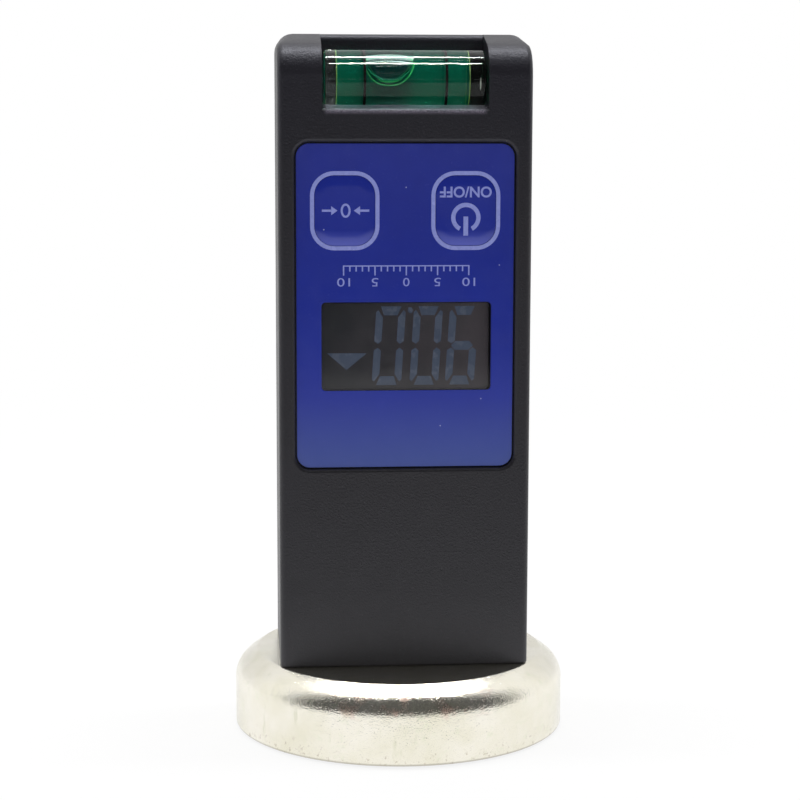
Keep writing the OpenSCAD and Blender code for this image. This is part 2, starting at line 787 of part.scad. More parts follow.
// The battery bay and the opening for its door
module bay_cuts() {
    outer_half = door_half + swing_gap;
    door_low = barrel_z - barrel_r - swing_gap;
    block([-bay_half, bay_y, bay_z], [bay_half, back_y, bay_top]);
    block([-outer_half, door_y - thread_gap, door_low], [outer_half, back_y + over, door_top + swing_gap]);
    bar_x(-outer_half, barrel_y, barrel_z, barrel_r + swing_gap, 2 * outer_half);
    bar_x(-door_half - pivot_len - drop_gap, barrel_y, barrel_z, pivot_r + thread_gap,
          2 * (door_half + pivot_len + drop_gap));
    for (x = [-1, 1])
        block([x * cell_x - tail_w / 2 - drop_gap, bay_y - bay_wall - over, bay_top - contact_t - drop_gap],
              [x * cell_x + tail_w / 2 + drop_gap, bay_y + eps, bay_top]);
    // the thumb dish above the door
    translate([0, back_y + dish_r - dish_depth, door_top]) sphere(r = dish_r);
}

module rear_shell() {
    color([0.13, 0.13, 0.14]) difference() {
        intersection() {
            case_outer();
            block([-case_w, seam_y, case_z - over], [case_w, back_y + over, case_top + over]);
        }
        rear_space();
        bay_cuts();
        base_screw_holes(base_screw_r + drop_gap);
        for (x = [-1, 1], z = boss_zs) {
            bar_y(x * boss_x, seam_y - 1, z, case_screw_r + drop_gap, rear_depth);
            bar_y(x * boss_x, head_seat_y, z, counterbore_r, rear_depth);
        }
    }
}

module case_screws() {
    color("darkgray") for (x = [-1, 1], z = boss_zs)
        translate([x * boss_x, head_seat_y, z]) rotate([-90, 0, 0])
            pan_screw(case_screw_r, case_head_r, case_head_h, case_screw_len);
}

// ---- Vial ----

module vial_tube() {
    color([0.9, 0.95, 0.93, 0.35]) difference() {
        bar_x(-vial_len / 2, vial_y, vial_z, vial_r, vial_len);
        bar_x(-fluid_half, vial_y, vial_z, vial_bore_r, vial_len);
        ring_bands();
    }
}

module vial_plug() {
    color([0.85, 0.9, 0.88, 0.6]) bar_x(fluid_half, vial_y, vial_z, vial_bore_r, vial_end);
}

module vial_fluid() {
    color([0.1, 0.55, 0.3, 0.6]) difference() {
        bar_x(-fluid_half, vial_y, vial_z, vial_bore_r, 2 * fluid_half);
        bar_x(-channel_half, vial_y, vial_z + channel_up, channel_r, 2 * channel_half);
    }
}

module vial_bubble() {
    straight = bubble_len - 2 * bubble_r;
    color([0.7, 0.85, 0.75, 0.5]) translate([bubble_rest, vial_y, vial_z + channel_up]) {
        rotate([0, 90, 0]) cylinder(r = bubble_r, h = straight, center = true);
        for (x = [-1, 1])
            translate([x * straight / 2, 0, 0]) sphere(r = bubble_r);
    }
}

// The two bands that the indicator rings fill
module ring_bands() {
    for (x = [-1, 1])
        difference() {
            bar_x(x * ring_gap / 2 - ring_w / 2, vial_y, vial_z, vial_r, ring_w);
            bar_x(x * ring_gap / 2 - ring_w, vial_y, vial_z, vial_r - ring_t, 2 * ring_w);
        }
}

module vial_rings() {
    color("black") ring_bands();
}

// ---- Panel ----

module overlay_film() {
    color([0.18, 0.2, 0.62]) difference() {
        translate([0, 0, film_mid_z]) upright(film_y, film_t) rounded_rect(film_w, film_h, film_r);
        translate([0, 0, window_mid_z]) upright(film_y - over, film_t + 2 * over)
            rounded_rect(window_w, window_h, window_r);
        for (x = [-1, 1])
            translate([x * key_pitch / 2, 0, key_z]) upright(film_y - over, film_t + 2 * over)
                rounded_rect(key_w + 2 * key_gap, key_h + 2 * key_gap, key_r + key_gap);
    }
}

module display_window() {
    color([0.2, 0.18, 0.18, 0.4]) translate([0, 0, window_mid_z])
        upright(film_y, film_t) rounded_rect(window_w, window_h, window_r);
}

// A key with its flange, its middle at x
module key_cap(x) {
    face_y = film_y - key_proud;
    translate([x, 0, key_z]) {
        hull() {
            upright(face_y, film_t)
                rounded_rect(key_w - 2 * key_bevel, key_h - 2 * key_bevel, key_r - key_bevel);
            upright(film_y, film_t) rounded_rect(key_w, key_h, key_r);
        }
        upright(film_back - eps, flange_y - film_back + 2 * eps) rounded_rect(key_w, key_h, key_r);
        upright(flange_y, flange_t)
            rounded_rect(key_w + 2 * key_flange, key_h + 2 * key_flange, key_r + key_flange);
    }
}

module power_key() {
    color([0.2, 0.22, 0.65]) key_cap(key_pitch / 2);
}

module zero_key() {
    color([0.2, 0.22, 0.65]) key_cap(-key_pitch / 2);
}

// The stem between a key and its switch, with its middle at x
module plunger(x) {
    bar_y(x, flange_back, key_z, plunger_d / 2, switch_y + plunger_in - flange_back);
}

module power_plunger() {
    color("ivory") plunger(key_pitch / 2);
}

module zero_plunger() {
    color("ivory") plunger(-key_pitch / 2);
}

module switch_housings() {
    color("dimgray") for (x = [-1, 1])
        difference() {
            translate([x * key_pitch / 2, 0, key_z]) upright(switch_y, switch_h)
                square([switch_w, switch_w], center = true);
            bar_y(x * key_pitch / 2, switch_y - over, key_z, plunger_d / 2 + thread_gap, over + switch_bore);
        }
}

// ---- Display ----

module lcd_panel() {
    color([0.25, 0.23, 0.23]) translate([0, 0, window_mid_z])
        upright(lcd_y, lcd_t) square([lcd_w, lcd_h], center = true);
}

module lcd_frame() {
    grow = 2 * drop_gap;
    depth = pcb_y - lcd_y;
    color("whitesmoke") translate([0, 0, window_mid_z]) difference() {
        upright(lcd_y, depth)
            rounded_rect(lcd_w + grow + 2 * lcd_frame_wall, lcd_h + grow + 2 * lcd_frame_wall, 1);
        upright(lcd_y - over, lcd_t + over) square([lcd_w + grow, lcd_h + grow], center = true);
        upright(lcd_y, depth + over) square([light_w + grow, light_h + grow], center = true);
        for (z = [-1, 1])
            upright(lcd_y, depth + over) translate([0, z * strip_mid])
                square([strip_len + grow, strip_w + grow], center = true);
    }
}

module lcd_strips() {
    color("lightpink") translate([0, 0, window_mid_z]) for (z = [-1, 1])
        upright(lcd_back, pcb_y - lcd_back) translate([0, z * strip_mid])
            square([strip_len, strip_w], center = true);
}

module backlight_panel() {
    color("white") translate([0, 0, window_mid_z])
        upright(lcd_back + drop_gap, pcb_y - lcd_back - drop_gap) square([light_w, light_h], center = true);
}

// ---- Circuit board ----

module main_pcb() {
    color("darkgreen") difference() {
        translate([0, 0, pcb_mid_z]) upright(pcb_y, pcb_t) rounded_rect(pcb_w, pcb_h, 1);
        for (x = [-1, 1], z = post_zs)
            bar_y(x * post_x, pcb_y - over, z, pcb_screw_r + drop_gap, pcb_t + 2 * over);
    }
}

module pcb_screws() {
    color("silver") for (x = [-1, 1], z = post_zs)
        translate([x * post_x, pcb_back, z]) rotate([-90, 0, 0])
            pan_screw(pcb_screw_r, 2 * pcb_screw_r, pcb_screw_r * 1.3, pcb_t + pcb_stand - 1.5);
}

module controller_chip() {
    pitch = chip_w / (chip_pins + 1);
    color([0.15, 0.15, 0.16]) translate([0, 0, chip_z])
        upright(pcb_back + pin_t / 4, chip_t) square([chip_w, chip_w], center = true);
    color("silver") for (a = [0, 90, 180, 270], i = [1:chip_pins])
        translate([0, 0, chip_z]) rotate([0, a, 0])
            translate([chip_w / 2 - eps, pcb_back, (i - (chip_pins + 1) / 2) * pitch - pitch / 4])
                cube([pin_len, pin_t, pitch / 2]);
}

module tilt_sensor() {
    color([0.2, 0.2, 0.22]) translate([0, 0, sensor_z])
        upright(pcb_back, sensor_t) square([sensor_w, sensor_w], center = true);
}

module crystal_can() {
    color("silver") translate([can_x, 0, can_z]) upright(pcb_back, can_t)
        rounded_rect(can_w, can_h, can_h / 2 - eps);
}

module capacitors() {
    color("midnightblue") bar_y(-cap_x, pcb_back, can_z, cap_r, cap_h);
    color("peru") for (i = [-2, -1, 1, 2])
        translate([i * small_cap_pitch - small_cap_w / 2, pcb_back, small_cap_z])
            cube([small_cap_w, small_cap_t, small_cap_t]);
}

// ---- Batteries ----

// A cell along Z with its flat end at the origin
module cell() {
    body = cell_len - button_h;
    rotate_extrude() {
        square([cell_r - cell_edge_r, body]);
        translate([0, cell_edge_r]) square([cell_r, body - 2 * cell_edge_r]);
        for (z = [cell_edge_r, body - cell_edge_r])
            translate([cell_r - cell_edge_r, z]) circle(cell_edge_r);
        square([button_r, cell_len]);
    }
}

module battery_left() {
    color("darkorange") translate([-cell_x, cell_y, bay_z + contact_t + spring_len]) cell();
}

module battery_right() {
    color("darkorange") translate([cell_x, cell_y, bay_top - contact_t - spring_len])
        mirror([0, 0, 1]) cell();
}

module battery_springs() {
    color("silver") {
        translate([-cell_x, cell_y, bay_z + contact_t]) coil_spring();
        translate([cell_x, cell_y, bay_top - contact_t]) mirror([0, 0, 1]) coil_spring();
    }
}

module battery_contacts() {
    reach = coil_big + wire_d / 2;
    color("silver") {
        block([-cell_x - reach, cell_y - reach, bay_z], [cell_x + reach, cell_y + reach, bay_z + contact_t]);
        for (x = [-1, 1]) {
            block([x * cell_x - reach, cell_y - reach, bay_top - contact_t],
                  [x * cell_x + reach, cell_y + reach, bay_top]);
            block([x * cell_x - tail_w / 2, pcb_back, bay_top - contact_t],
                  [x * cell_x + tail_w / 2, cell_y, bay_top]);
        }
    }
}

module battery_door() {
    corner = door_corner_r;
    color([0.13, 0.13, 0.14]) difference() {
        union() {
            upright(door_y, door_t) {
                translate([-door_half, barrel_z]) square([2 * door_half, door_top - barrel_z - corner]);
                translate([corner - door_half, barrel_z])
                    square([2 * (door_half - corner), door_top - barrel_z]);
                for (x = [-1, 1])
                    translate([x * (door_half - corner), door_top - corner]) circle(corner);
            }
            bar_x(-door_half, barrel_y, barrel_z, barrel_r, 2 * door_half);
            bar_x(-door_half - pivot_len, barrel_y, barrel_z, pivot_r, 2 * (door_half + pivot_len));
        }
        for (i = [1:grip_count])
            bar_x(-grip_half, back_y + grip_r * 0.4, grip_top - i * grip_pitch, grip_r, 2 * grip_half);
        translate([0, back_y + dish_r - dish_depth, door_top]) sphere(r = dish_r);
    }
}

base_cup();
ring_magnet();
resin_ring();
base_screws();
foot_plate();
front_shell();
rear_shell();
case_screws();
vial_tube();
vial_plug();
vial_fluid();
vial_bubble();
vial_rings();
overlay_film();
display_window();
power_key();
zero_key();
power_plunger();
zero_plunger();
switch_housings();
lcd_panel();
lcd_frame();
lcd_strips();
backlight_panel();
main_pcb();
pcb_screws();
controller_chip();
tilt_sensor();
crystal_can();
capacitors();
battery_left();
battery_right();
battery_springs();
battery_contacts();
battery_door();
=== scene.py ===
"""Looks of a digital camber and caster gauge on a round magnetic base.

The scene is in metres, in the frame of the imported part: x to the right, y away
from the camera, z up. Sizes of the gauge are written in millimetres and are
multiplied by MM where they are used.
"""

import math

import bmesh
import bpy
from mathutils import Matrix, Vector


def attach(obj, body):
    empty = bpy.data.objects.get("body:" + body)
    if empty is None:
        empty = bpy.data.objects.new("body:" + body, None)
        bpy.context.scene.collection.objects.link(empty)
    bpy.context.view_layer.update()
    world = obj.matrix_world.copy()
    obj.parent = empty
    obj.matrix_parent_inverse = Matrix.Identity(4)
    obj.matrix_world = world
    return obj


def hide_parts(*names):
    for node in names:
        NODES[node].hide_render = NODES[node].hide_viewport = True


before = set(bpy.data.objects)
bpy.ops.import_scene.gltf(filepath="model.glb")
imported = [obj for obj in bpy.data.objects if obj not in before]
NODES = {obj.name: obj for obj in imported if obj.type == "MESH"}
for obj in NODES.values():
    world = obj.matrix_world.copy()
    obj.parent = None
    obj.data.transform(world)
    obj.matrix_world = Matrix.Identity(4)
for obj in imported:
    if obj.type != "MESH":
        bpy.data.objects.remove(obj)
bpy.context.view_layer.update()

MM = 0.001

# ---------------------------------------------------------------- camera

# Solved from the photograph: the place in mm, the angles in degrees.
CAMERA_PLACE = (-31.1, -410.5, 124.8)
CAMERA_YAW = 4.342
CAMERA_ROLL = -0.13
CAMERA_PITCH = 8.22
FOCAL_PIXELS = 2078.5
FRAME_PIXELS = 800
SENSOR = 36.0


def make_camera():
    """The camera that the photograph was taken with."""
    data = bpy.data.cameras.new("camera")
    data.sensor_width = SENSOR
    data.lens = SENSOR * FOCAL_PIXELS / FRAME_PIXELS
    data.clip_start = 0.01
    data.clip_end = 60
    camera = bpy.data.objects.new("camera", data)
    bpy.context.scene.collection.objects.link(camera)
    camera.location = Vector(CAMERA_PLACE) * MM
    camera.rotation_euler = (
        math.radians(90 - CAMERA_PITCH), math.radians(CAMERA_ROLL),
        math.radians(-CAMERA_YAW))
    bpy.context.scene.camera = camera


make_camera()

# ---------------------------------------------------------------- materials


def linear(red, green, blue):
    """A colour written as 0 to 255 display values, as linear RGBA."""
    def one(value):
        value = value / 255
        if value <= 0.04045:
            return value / 12.92
        return ((value + 0.055) / 1.055) ** 2.4
    return (one(red), one(green), one(blue), 1)


class Nodes:
    """The node tree of a material or a world, and short ways to add to it."""

    def __init__(self, owner):
        owner.use_nodes = True
        self.tree = owner.node_tree
        self.tree.nodes.clear()

    def feed(self, socket, value):
        """Links a socket to another one, or sets it to a plain value."""
        if isinstance(value, bpy.types.NodeSocket):
            self.tree.links.new(value, socket)
        else:
            socket.default_value = value

    def add(self, kind, sockets=None, **settings):
        """A new node with its settings made and its sockets fed."""
        made = self.tree.nodes.new(kind)
        for key, value in settings.items():
            setattr(made, key, value)
        for key, value in (sockets or {}).items():
            self.feed(made.inputs[key], value)
        return made

    def math(self, operation, first, second=0.0):
        """One step of arithmetic, such as "ADD", on sockets or numbers."""
        return self.add("ShaderNodeMath", {0: first, 1: second},
                        operation=operation).outputs[0]

    def product(self, first, *others):
        """All the values multiplied together."""
        for value in others:
            first = self.math("MULTIPLY", first, value)
        return first

    def remap(self, value, low, high, to_low=0.0, to_high=1.0, **settings):
        """A ramp over value from low to high, level outside them."""
        return self.add(
            "ShaderNodeMapRange",
            {"Value": value, "From Min": low, "From Max": high,
             "To Min": to_low, "To Max": to_high}, **settings,
        ).outputs["Result"]


class Shader(Nodes):
    """A material whose patterns are laid out in the frame of the part."""

    def __init__(self, name):
        self.material = bpy.data.materials.new(name)
        super().__init__(self.material)
        self.output = self.add("ShaderNodeOutputMaterial")
        self.place = self.add("ShaderNodeTexCoord").outputs["Object"]
        self.axes = self.add(
            "ShaderNodeSeparateXYZ", {"Vector": self.place}).outputs

    def noise(self, size_mm, detail=2.0, rough=0.5, stretch=None):
        """Noise whose features are about size_mm across, as a 0 to 1 value."""
        place = self.place
        if stretch:
            place = self.add(
                "ShaderNodeMapping", {"Vector": place, "Scale": stretch}
            ).outputs["Vector"]
        return self.add(
            "ShaderNodeTexNoise",
            {"Vector": place, "Scale": 1 / (size_mm * MM),
             "Detail": detail, "Roughness": rough},
        ).outputs["Fac"]

    def ramp_mm(self, axis, low, high, to_low=0.0, to_high=1.0):
        """A ramp along "X", "Y" or "Z" between two places in mm."""
        return self.remap(
            self.axes[axis], low * MM, high * MM, to_low, to_high)

    def near_middle(self, inner, outer):
        """1 within inner mm to either side of the middle, 0 past outer."""
        side = self.math("ABSOLUTE", self.axes["X"])
        return self.remap(side, inner * MM, outer * MM, 1, 0)

    def mix(self, amount, first, second):
        """A colour between two colours."""
        return self.add("ShaderNodeMix", {0: amount, 6: first, 7: second},
                        data_type="RGBA").outputs[2]

    def bump(self, height, depth_mm, soft_edge_mm=0.0):
        """Relief in the shading only, with softened edges if asked for."""
        sockets = {"Height": height, "Strength": 1.0,
                   "Distance": depth_mm * MM}
        if soft_edge_mm:
            sockets["Normal"] = self.add(
                "ShaderNodeBevel", {"Radius": soft_edge_mm * MM}, samples=4
            ).outputs["Normal"]
        return self.add("ShaderNodeBump", sockets).outputs["Normal"]

    def finish(self, sockets):
        """Ends the material in a principled surface and gives it back."""
        shader = self.add("ShaderNodeBsdfPrincipled", sockets)
        self.feed(self.output.inputs["Surface"], shader.outputs["BSDF"])
        return self.material


def plain_finish(name, colour, second, *, metallic=0.0, rough=(0.4, 0.5),
                 patch_mm=6, grain_mm=0.4, depth_mm=0.01, soft_edge_mm=0.0,
                 specular=0.5):
    """A surface with patches of two close colours, uneven gloss and a fine
    grain."""
    shader = Shader(name)
    patches = shader.remap(shader.noise(patch_mm, 4, 0.6), 0.35, 0.65)
    gloss = shader.remap(shader.noise(patch_mm * 0.4, 3), 0.3, 0.7, *rough)
    grain = shader.noise(grain_mm, 3, 0.6)
    return shader.finish({
        "Base Color": shader.mix(patches, linear(*colour), linear(*second)),
        "Metallic": metallic,
        "Roughness": gloss,
        "Specular IOR Level": specular,
        "Normal": shader.bump(grain, depth_mm, soft_edge_mm=soft_edge_mm),
    })


def case_plastic():
    """Black moulded plastic with a spark-eroded texture. As painted light, it
    is paler low down, has a pale grainy highlight on the lip below the vial
    and has reflections tinted bluer towards the top."""
    shader = Shader("case_plastic_spark")
    coarse = shader.noise(0.42, 2, 0.6)
    fine = shader.noise(0.2, 2, 0.6)
    height = shader.math("ADD", coarse, shader.math("MULTIPLY", fine, 0.5))
    patches = shader.remap(shader.noise(14, 4, 0.6), 0.3, 0.7)
    specks = shader.remap(shader.noise(0.35, 1), 0.68, 0.76, 0, 0.3)
    # Painted highlight: the lip below the vial gets a pale grainy colour that
    # stands in for light falling on it.
    lip = shader.product(
        shader.ramp_mm("Z", 122.0, 122.6),
        shader.ramp_mm("Z", 123.8, 124.4, 1, 0),
        shader.near_middle(14.8, 15.6),
        shader.ramp_mm("Y", -9.5, -8.5, 1, 0))
    pale_flecks = shader.mix(shader.remap(fine, 0.40, 0.62), linear(54, 50, 60),
                      linear(118, 110, 126))
    base = shader.mix(patches, linear(23, 21, 28), linear(27, 25, 32))
    # Painted light: paler towards the bottom, standing in for light thrown up
    # from the cup and the floor.
    base = shader.mix(shader.ramp_mm("Z", 60, 15), base, linear(33, 32, 35))
    base = shader.mix(shader.ramp_mm("Z", 30, 15), base, linear(46, 45, 48))
    base = shader.mix(lip, base, pale_flecks)
    base = shader.mix(specks, base, linear(66, 66, 72))
    # Painted light: the reflections are tinted bluer towards the top, standing
    # in for bluish light from above.
    painted_blue_reflection_tint = shader.mix(shader.ramp_mm("Z", 100, 130),
                       (0.96, 0.96, 1.0, 1), (0.86, 0.88, 1.0, 1))
    return shader.finish({
        "Base Color": base,
        "Roughness": shader.remap(shader.noise(5, 3), 0.3, 0.7, 0.36, 0.42),
        "Specular IOR Level": 0.54,
        "Specular Tint": painted_blue_reflection_tint,
        "Normal": shader.bump(height, 0.08, soft_edge_mm=0.18),
    })


def nickel():
    """Bright nickel plate over pressed steel: grainy, with stains, runs and
    pits, scuffed at the rim, with a painted dark contact shadow along the
    bottom edge and a painted pinkish reflection on the front of the shoulder."""
    shader = Shader("nickel_plated_steel")
    grain = shader.noise(0.3, 1, 0.6)
    ripple = shader.noise(4, 2, 0.5)
    cream = shader.remap(shader.noise(9, 5, 0.6), 0.35, 0.7)
    # Painted reflection: a pinkish colour in the middle of the shoulder band
    # stands in for a lamp's blurred reflection there.
    painted_pink_reflection = shader.remap(shader.noise(4, 3, 0.6), 0.5, 0.68, 0, 0.7)
    stain = shader.remap(shader.noise(3.5, 5, 0.7), 0.56, 0.75, 0, 0.5)
    run = shader.remap(shader.noise(
        1.6, 4, 0.6, stretch=(1, 1, 0.25)), 0.62, 0.75, 0, 0.4)
    pits = shader.remap(shader.noise(0.6, 1, 0.5), 0.8, 0.83, 0, 0.8)
    scuff = shader.math("MULTIPLY", shader.remap(
        shader.noise(0.9, 4, 0.7), 0.58, 0.68, 0, 0.55),
        shader.ramp_mm("Z", 4.5, 0.5))
    # Painted shadow: a darker line along the bottom edge, where the cup meets
    # the floor.
    edge = shader.ramp_mm("Z", 0.6, 0.3, 0, 0.5)
    band = shader.math("MULTIPLY", shader.ramp_mm("Z", 8.5, 10.5),
                       shader.ramp_mm("Z", 12.8, 13.6, 1, 0))
    shoulder = shader.product(band, shader.near_middle(10, 18), painted_pink_reflection)
    base = shader.mix(cream, linear(248, 244, 232), linear(238, 234, 215))
    for amount, colour in ((stain, (226, 230, 203)), (run, (212, 212, 184)),
                           (shoulder, (222, 176, 160)),
                           (scuff, (158, 136, 112)), (edge, (140, 132, 124)),
                           (pits, (98, 88, 78))):
        base = shader.mix(amount, base, linear(*colour))
    relief = shader.math("ADD", grain, shader.math("MULTIPLY", ripple, 0.7))
    rough = shader.remap(shader.noise(2.5, 4), 0.3, 0.7, 0.12, 0.18)
    rough = shader.math("ADD", rough, shader.math("MULTIPLY", shoulder, 0.24))
    speckle = shader.remap(grain, 0.38, 0.62, -0.04, 0.09)
    rough = shader.math("ADD", rough, shader.math("MULTIPLY", speckle, band))
    return shader.finish({
        "Base Color": base,
        "Metallic": 0.975,
        "Roughness": rough,
        "Normal": shader.bump(relief, 0.07),
    })


def film(name="blue_overlay_film", painted_sheen_mm=None):
    """Blue printed polyester film: satin, painted paler low down as a painted
    reflection of the bright floor, with a faint orange peel and a few dusty
    specks. Given a pair of heights in mm, a painted highlight also makes the
    colour paler between them."""
    shader = Shader(name)
    # Painted reflection: the film is paler towards the bottom, where it would
    # mirror the floor.
    uneven = shader.math(
        "ADD", shader.ramp_mm("Z", 105, 70, 0, 0.8),
        shader.remap(shader.noise(11, 4, 0.6), 0.3, 0.7, -0.15, 0.2))
    flat = shader.add("ShaderNodeCombineXYZ", {
        "X": shader.axes["X"], "Y": shader.axes["Z"]})
    cells = shader.add("ShaderNodeTexVoronoi", {
        "Vector": flat.outputs["Vector"], "Scale": 62.0},
        voronoi_dimensions="2D").outputs["Distance"]
    pale_flecks = shader.remap(cells, 0.005, 0.010, 0.5, 0)
    smears = shader.remap(shader.noise(0.5, 3, 0.6), 0.62, 0.75, 0, 0.2)
    base = shader.mix(uneven, linear(20, 36, 134), linear(27, 46, 152))
    # Painted reflection: a paler band low on the film.
    base = shader.mix(
        shader.ramp_mm("Z", 68, 55.5), base, linear(47, 68, 146))
    # Painted highlight: a paler band low on each key stands in for the light on
    # its domed face.
    if painted_sheen_mm:
        base = shader.mix(
            shader.ramp_mm("Z", *painted_sheen_mm), base, linear(66, 76, 170))
    base = shader.mix(smears, base, linear(60, 70, 160))
    base = shader.mix(pale_flecks, base, linear(190, 200, 230))
    return shader.finish({
        "Base Color": base,
        "Roughness": shader.remap(shader.noise(3, 3), 0.3, 0.7, 0.15, 0.2),
        "Specular IOR Level": 0.5,
        "Normal": shader.bump(shader.noise(0.8, 3), 0.006, soft_edge_mm=0.12),
    })


def print_ink(name, colour, second):
    """A thin, slightly uneven print of two close colours."""
    shader = Shader(name)
    uneven = shader.remap(shader.noise(0.7, 4, 0.65), 0.3, 0.7)
    return shader.finish({
        "Base Color": shader.mix(uneven, linear(*colour), linear(*second)),
        "Roughness": shader.remap(shader.noise(2, 2), 0.3, 0.7, 0.22, 0.3),
        "Normal": shader.bump(shader.noise(0.5, 3), 0.004),
    })


def lcd_ground():
    """The display's grey ground, paler to the right."""
    shader = Shader("lcd_ground")
    cloud = shader.remap(shader.noise(6, 4, 0.6), 0.3, 0.7, -0.2, 0.2)
    across = shader.math("ADD", shader.ramp_mm("X", -16.6, 16.6), cloud)
    grey = shader.mix(across, linear(43, 46, 56), linear(92, 84, 92))
    return shader.finish({
        "Base Color": grey,
        "Roughness": shader.remap(shader.noise(2, 2), 0.3, 0.7, 0.3, 0.4),
        "Normal": shader.bump(shader.noise(0.3, 2), 0.002),
    })


def glass(name, ior, colour=(255, 255, 255), rough=0.0, absorbs=None,
          density=0, scatters=None, cloud=0, gloss=1.0):
    """A clear solid that lets lamps through. ior is relative to what lies
    outside the surface: the fluid lies in acrylic, the bubble in the fluid.
    absorbs and scatters dye and cloud the inside. gloss dims reflections."""
    shader = Shader(name)
    smear = shader.remap(shader.noise(1.6, 3), 0.3, 0.7, rough, rough + 0.02)
    solid = shader.add("ShaderNodeBsdfPrincipled", {
        "Base Color": linear(*colour), "Roughness": smear, "IOR": ior,
        "Specular Tint": (gloss, gloss, gloss, 1),
        "Transmission Weight": 1.0,
        "Normal": shader.bump(shader.noise(5, 0), 0.002)})
    clear = shader.add("ShaderNodeBsdfTransparent", {"Color": linear(*colour)})
    joined = shader.add("ShaderNodeMixShader", {
        0: shader.add("ShaderNodeLightPath").outputs["Is Shadow Ray"],
        1: solid.outputs["BSDF"], 2: clear.outputs["BSDF"]})
    shader.feed(shader.output.inputs["Surface"], joined.outputs["Shader"])
    if absorbs:
        dye = shader.add("ShaderNodeVolumeAbsorption", {
            "Color": linear(*absorbs), "Density": density})
        haze = shader.add("ShaderNodeVolumeScatter", {
            "Color": linear(*scatters), "Density": cloud})
        inside = shader.add("ShaderNodeAddShader", {
            0: dye.outputs["Volume"], 1: haze.outputs["Volume"]})
        shader.feed(shader.output.inputs["Volume"], inside.outputs["Shader"])
    return shader.material


def cell_wrap():
    """A dry cell's printed sleeve: dark body and a copper band at the top."""
    shader = Shader("cell_sleeve")
    band_mm = (85.0, 85.1)
    streak = shader.remap(
        shader.noise(3, 4, 0.6, stretch=(1, 1, 0.2)), 0.3, 0.7)
    sleeve = shader.mix(streak, linear(38, 40, 44), linear(52, 54, 58))
    copper = shader.mix(streak, linear(176, 120, 74), linear(196, 140, 92))
    return shader.finish({
        "Base Color": shader.mix(
            shader.ramp_mm("Z", *band_mm), sleeve, copper),
        "Metallic": shader.ramp_mm("Z", *band_mm, 0.2, 0.9),
        "Roughness": shader.remap(streak, 0, 1, 0.26, 0.36),
        "Normal": shader.bump(shader.noise(1.2, 2), 0.006),
    })


def laminate():
    """Green solder mask over faint copper tracks."""
    shader = Shader("green_laminate_board")
    tracks = shader.add(
        "ShaderNodeTexBrick",
        {"Vector": shader.place, "Scale": 160.0, "Mortar Size": 0.05,
         "Color1": linear(24, 84, 50), "Color2": linear(20, 74, 44),
         "Mortar": linear(44, 116, 70)})
    grain = shader.remap(shader.noise(1.5, 4), 0.35, 0.65, 0, 0.3)
    return shader.finish({
        "Base Color": shader.mix(
            grain, tracks.outputs["Color"], linear(16, 64, 38)),
        "Roughness": shader.remap(shader.noise(2, 3), 0.3, 0.7, 0.28, 0.4),
        "Normal": shader.bump(tracks.outputs["Fac"], 0.02, soft_edge_mm=0.05),
    })


BLACK_PLASTIC = case_plastic()
NICKEL = nickel()
FILM = film()
PALE_INK = print_ink("pale_print", (139, 147, 214), (127, 136, 204))
LCD_INK = print_ink("lcd_segment", (107, 122, 151), (101, 116, 144))
WINDOW = glass("smoked_display_window", 1.46, (234, 234, 234), 0.02)

CARRIED = {
    "base_cup": NICKEL,
    "ring_magnet": plain_finish(
        "ferrite_magnet", (52, 50, 50), (66, 64, 63), rough=(0.5, 0.7),
        patch_mm=5, grain_mm=0.3, depth_mm=0.03, soft_edge_mm=0.3),
    "resin_ring": plain_finish(
        "cast_resin", (24, 24, 26), (30, 30, 33), rough=(0.2, 0.35),
        patch_mm=6, grain_mm=1.5, depth_mm=0.02),
    "overlay_film": FILM,
    "display_window": WINDOW,
    "lcd_panel": lcd_ground(),
    "main_pcb": laminate(),
    "backlight_panel": plain_finish(
        "backlight_diffuser", (222, 222, 214), (210, 211, 204),
        rough=(0.4, 0.5)),
    "lcd_strips": plain_finish(
        "contact_rubber", (196, 122, 130), (180, 108, 118), rough=(0.6, 0.7),
        patch_mm=1.2),
    "capacitors": plain_finish(
        "capacitor_sleeve_print", (26, 34, 70), (32, 40, 80),
        rough=(0.3, 0.42), soft_edge_mm=0.1),
}
ZINC = plain_finish(
    "zinc_plated_steel", (196, 200, 206), (176, 178, 180), metallic=1.0,
    rough=(0.22, 0.4), patch_mm=2, grain_mm=0.25, depth_mm=0.006,
    soft_edge_mm=0.08)
BLACK_STEEL = plain_finish(
    "blackened_steel", (48, 48, 52), (62, 60, 60), metallic=0.8,
    rough=(0.32, 0.5), patch_mm=1.5, grain_mm=0.25, depth_mm=0.006,
    soft_edge_mm=0.08)
WHITE_PLASTIC = plain_finish(
    "white_moulded_plastic", (224, 223, 216), (213, 212, 206),
    rough=(0.35, 0.5), soft_edge_mm=0.1)
BLACK_RESIN = plain_finish(
    "black_component_resin", (30, 30, 32), (38, 38, 40), rough=(0.4, 0.6),
    patch_mm=2, grain_mm=0.2, depth_mm=0.01, soft_edge_mm=0.06)
for material, names in (
        (ZINC, ("base_screws", "foot_plate", "battery_contacts",
                "battery_springs", "crystal_can", "pcb_screws")),
        (WHITE_PLASTIC, ("lcd_frame", "power_plunger", "zero_plunger")),
        (BLACK_RESIN, ("controller_chip", "switch_housings", "tilt_sensor")),
        (cell_wrap(), ("battery_left", "battery_right")),
        (BLACK_STEEL, ("case_screws",))):
    for name in names:
        CARRIED[name] = material
for name, material in CARRIED.items():
    NODES[name].data.materials[0] = material

# ---------------------------------------------------------------- pieces


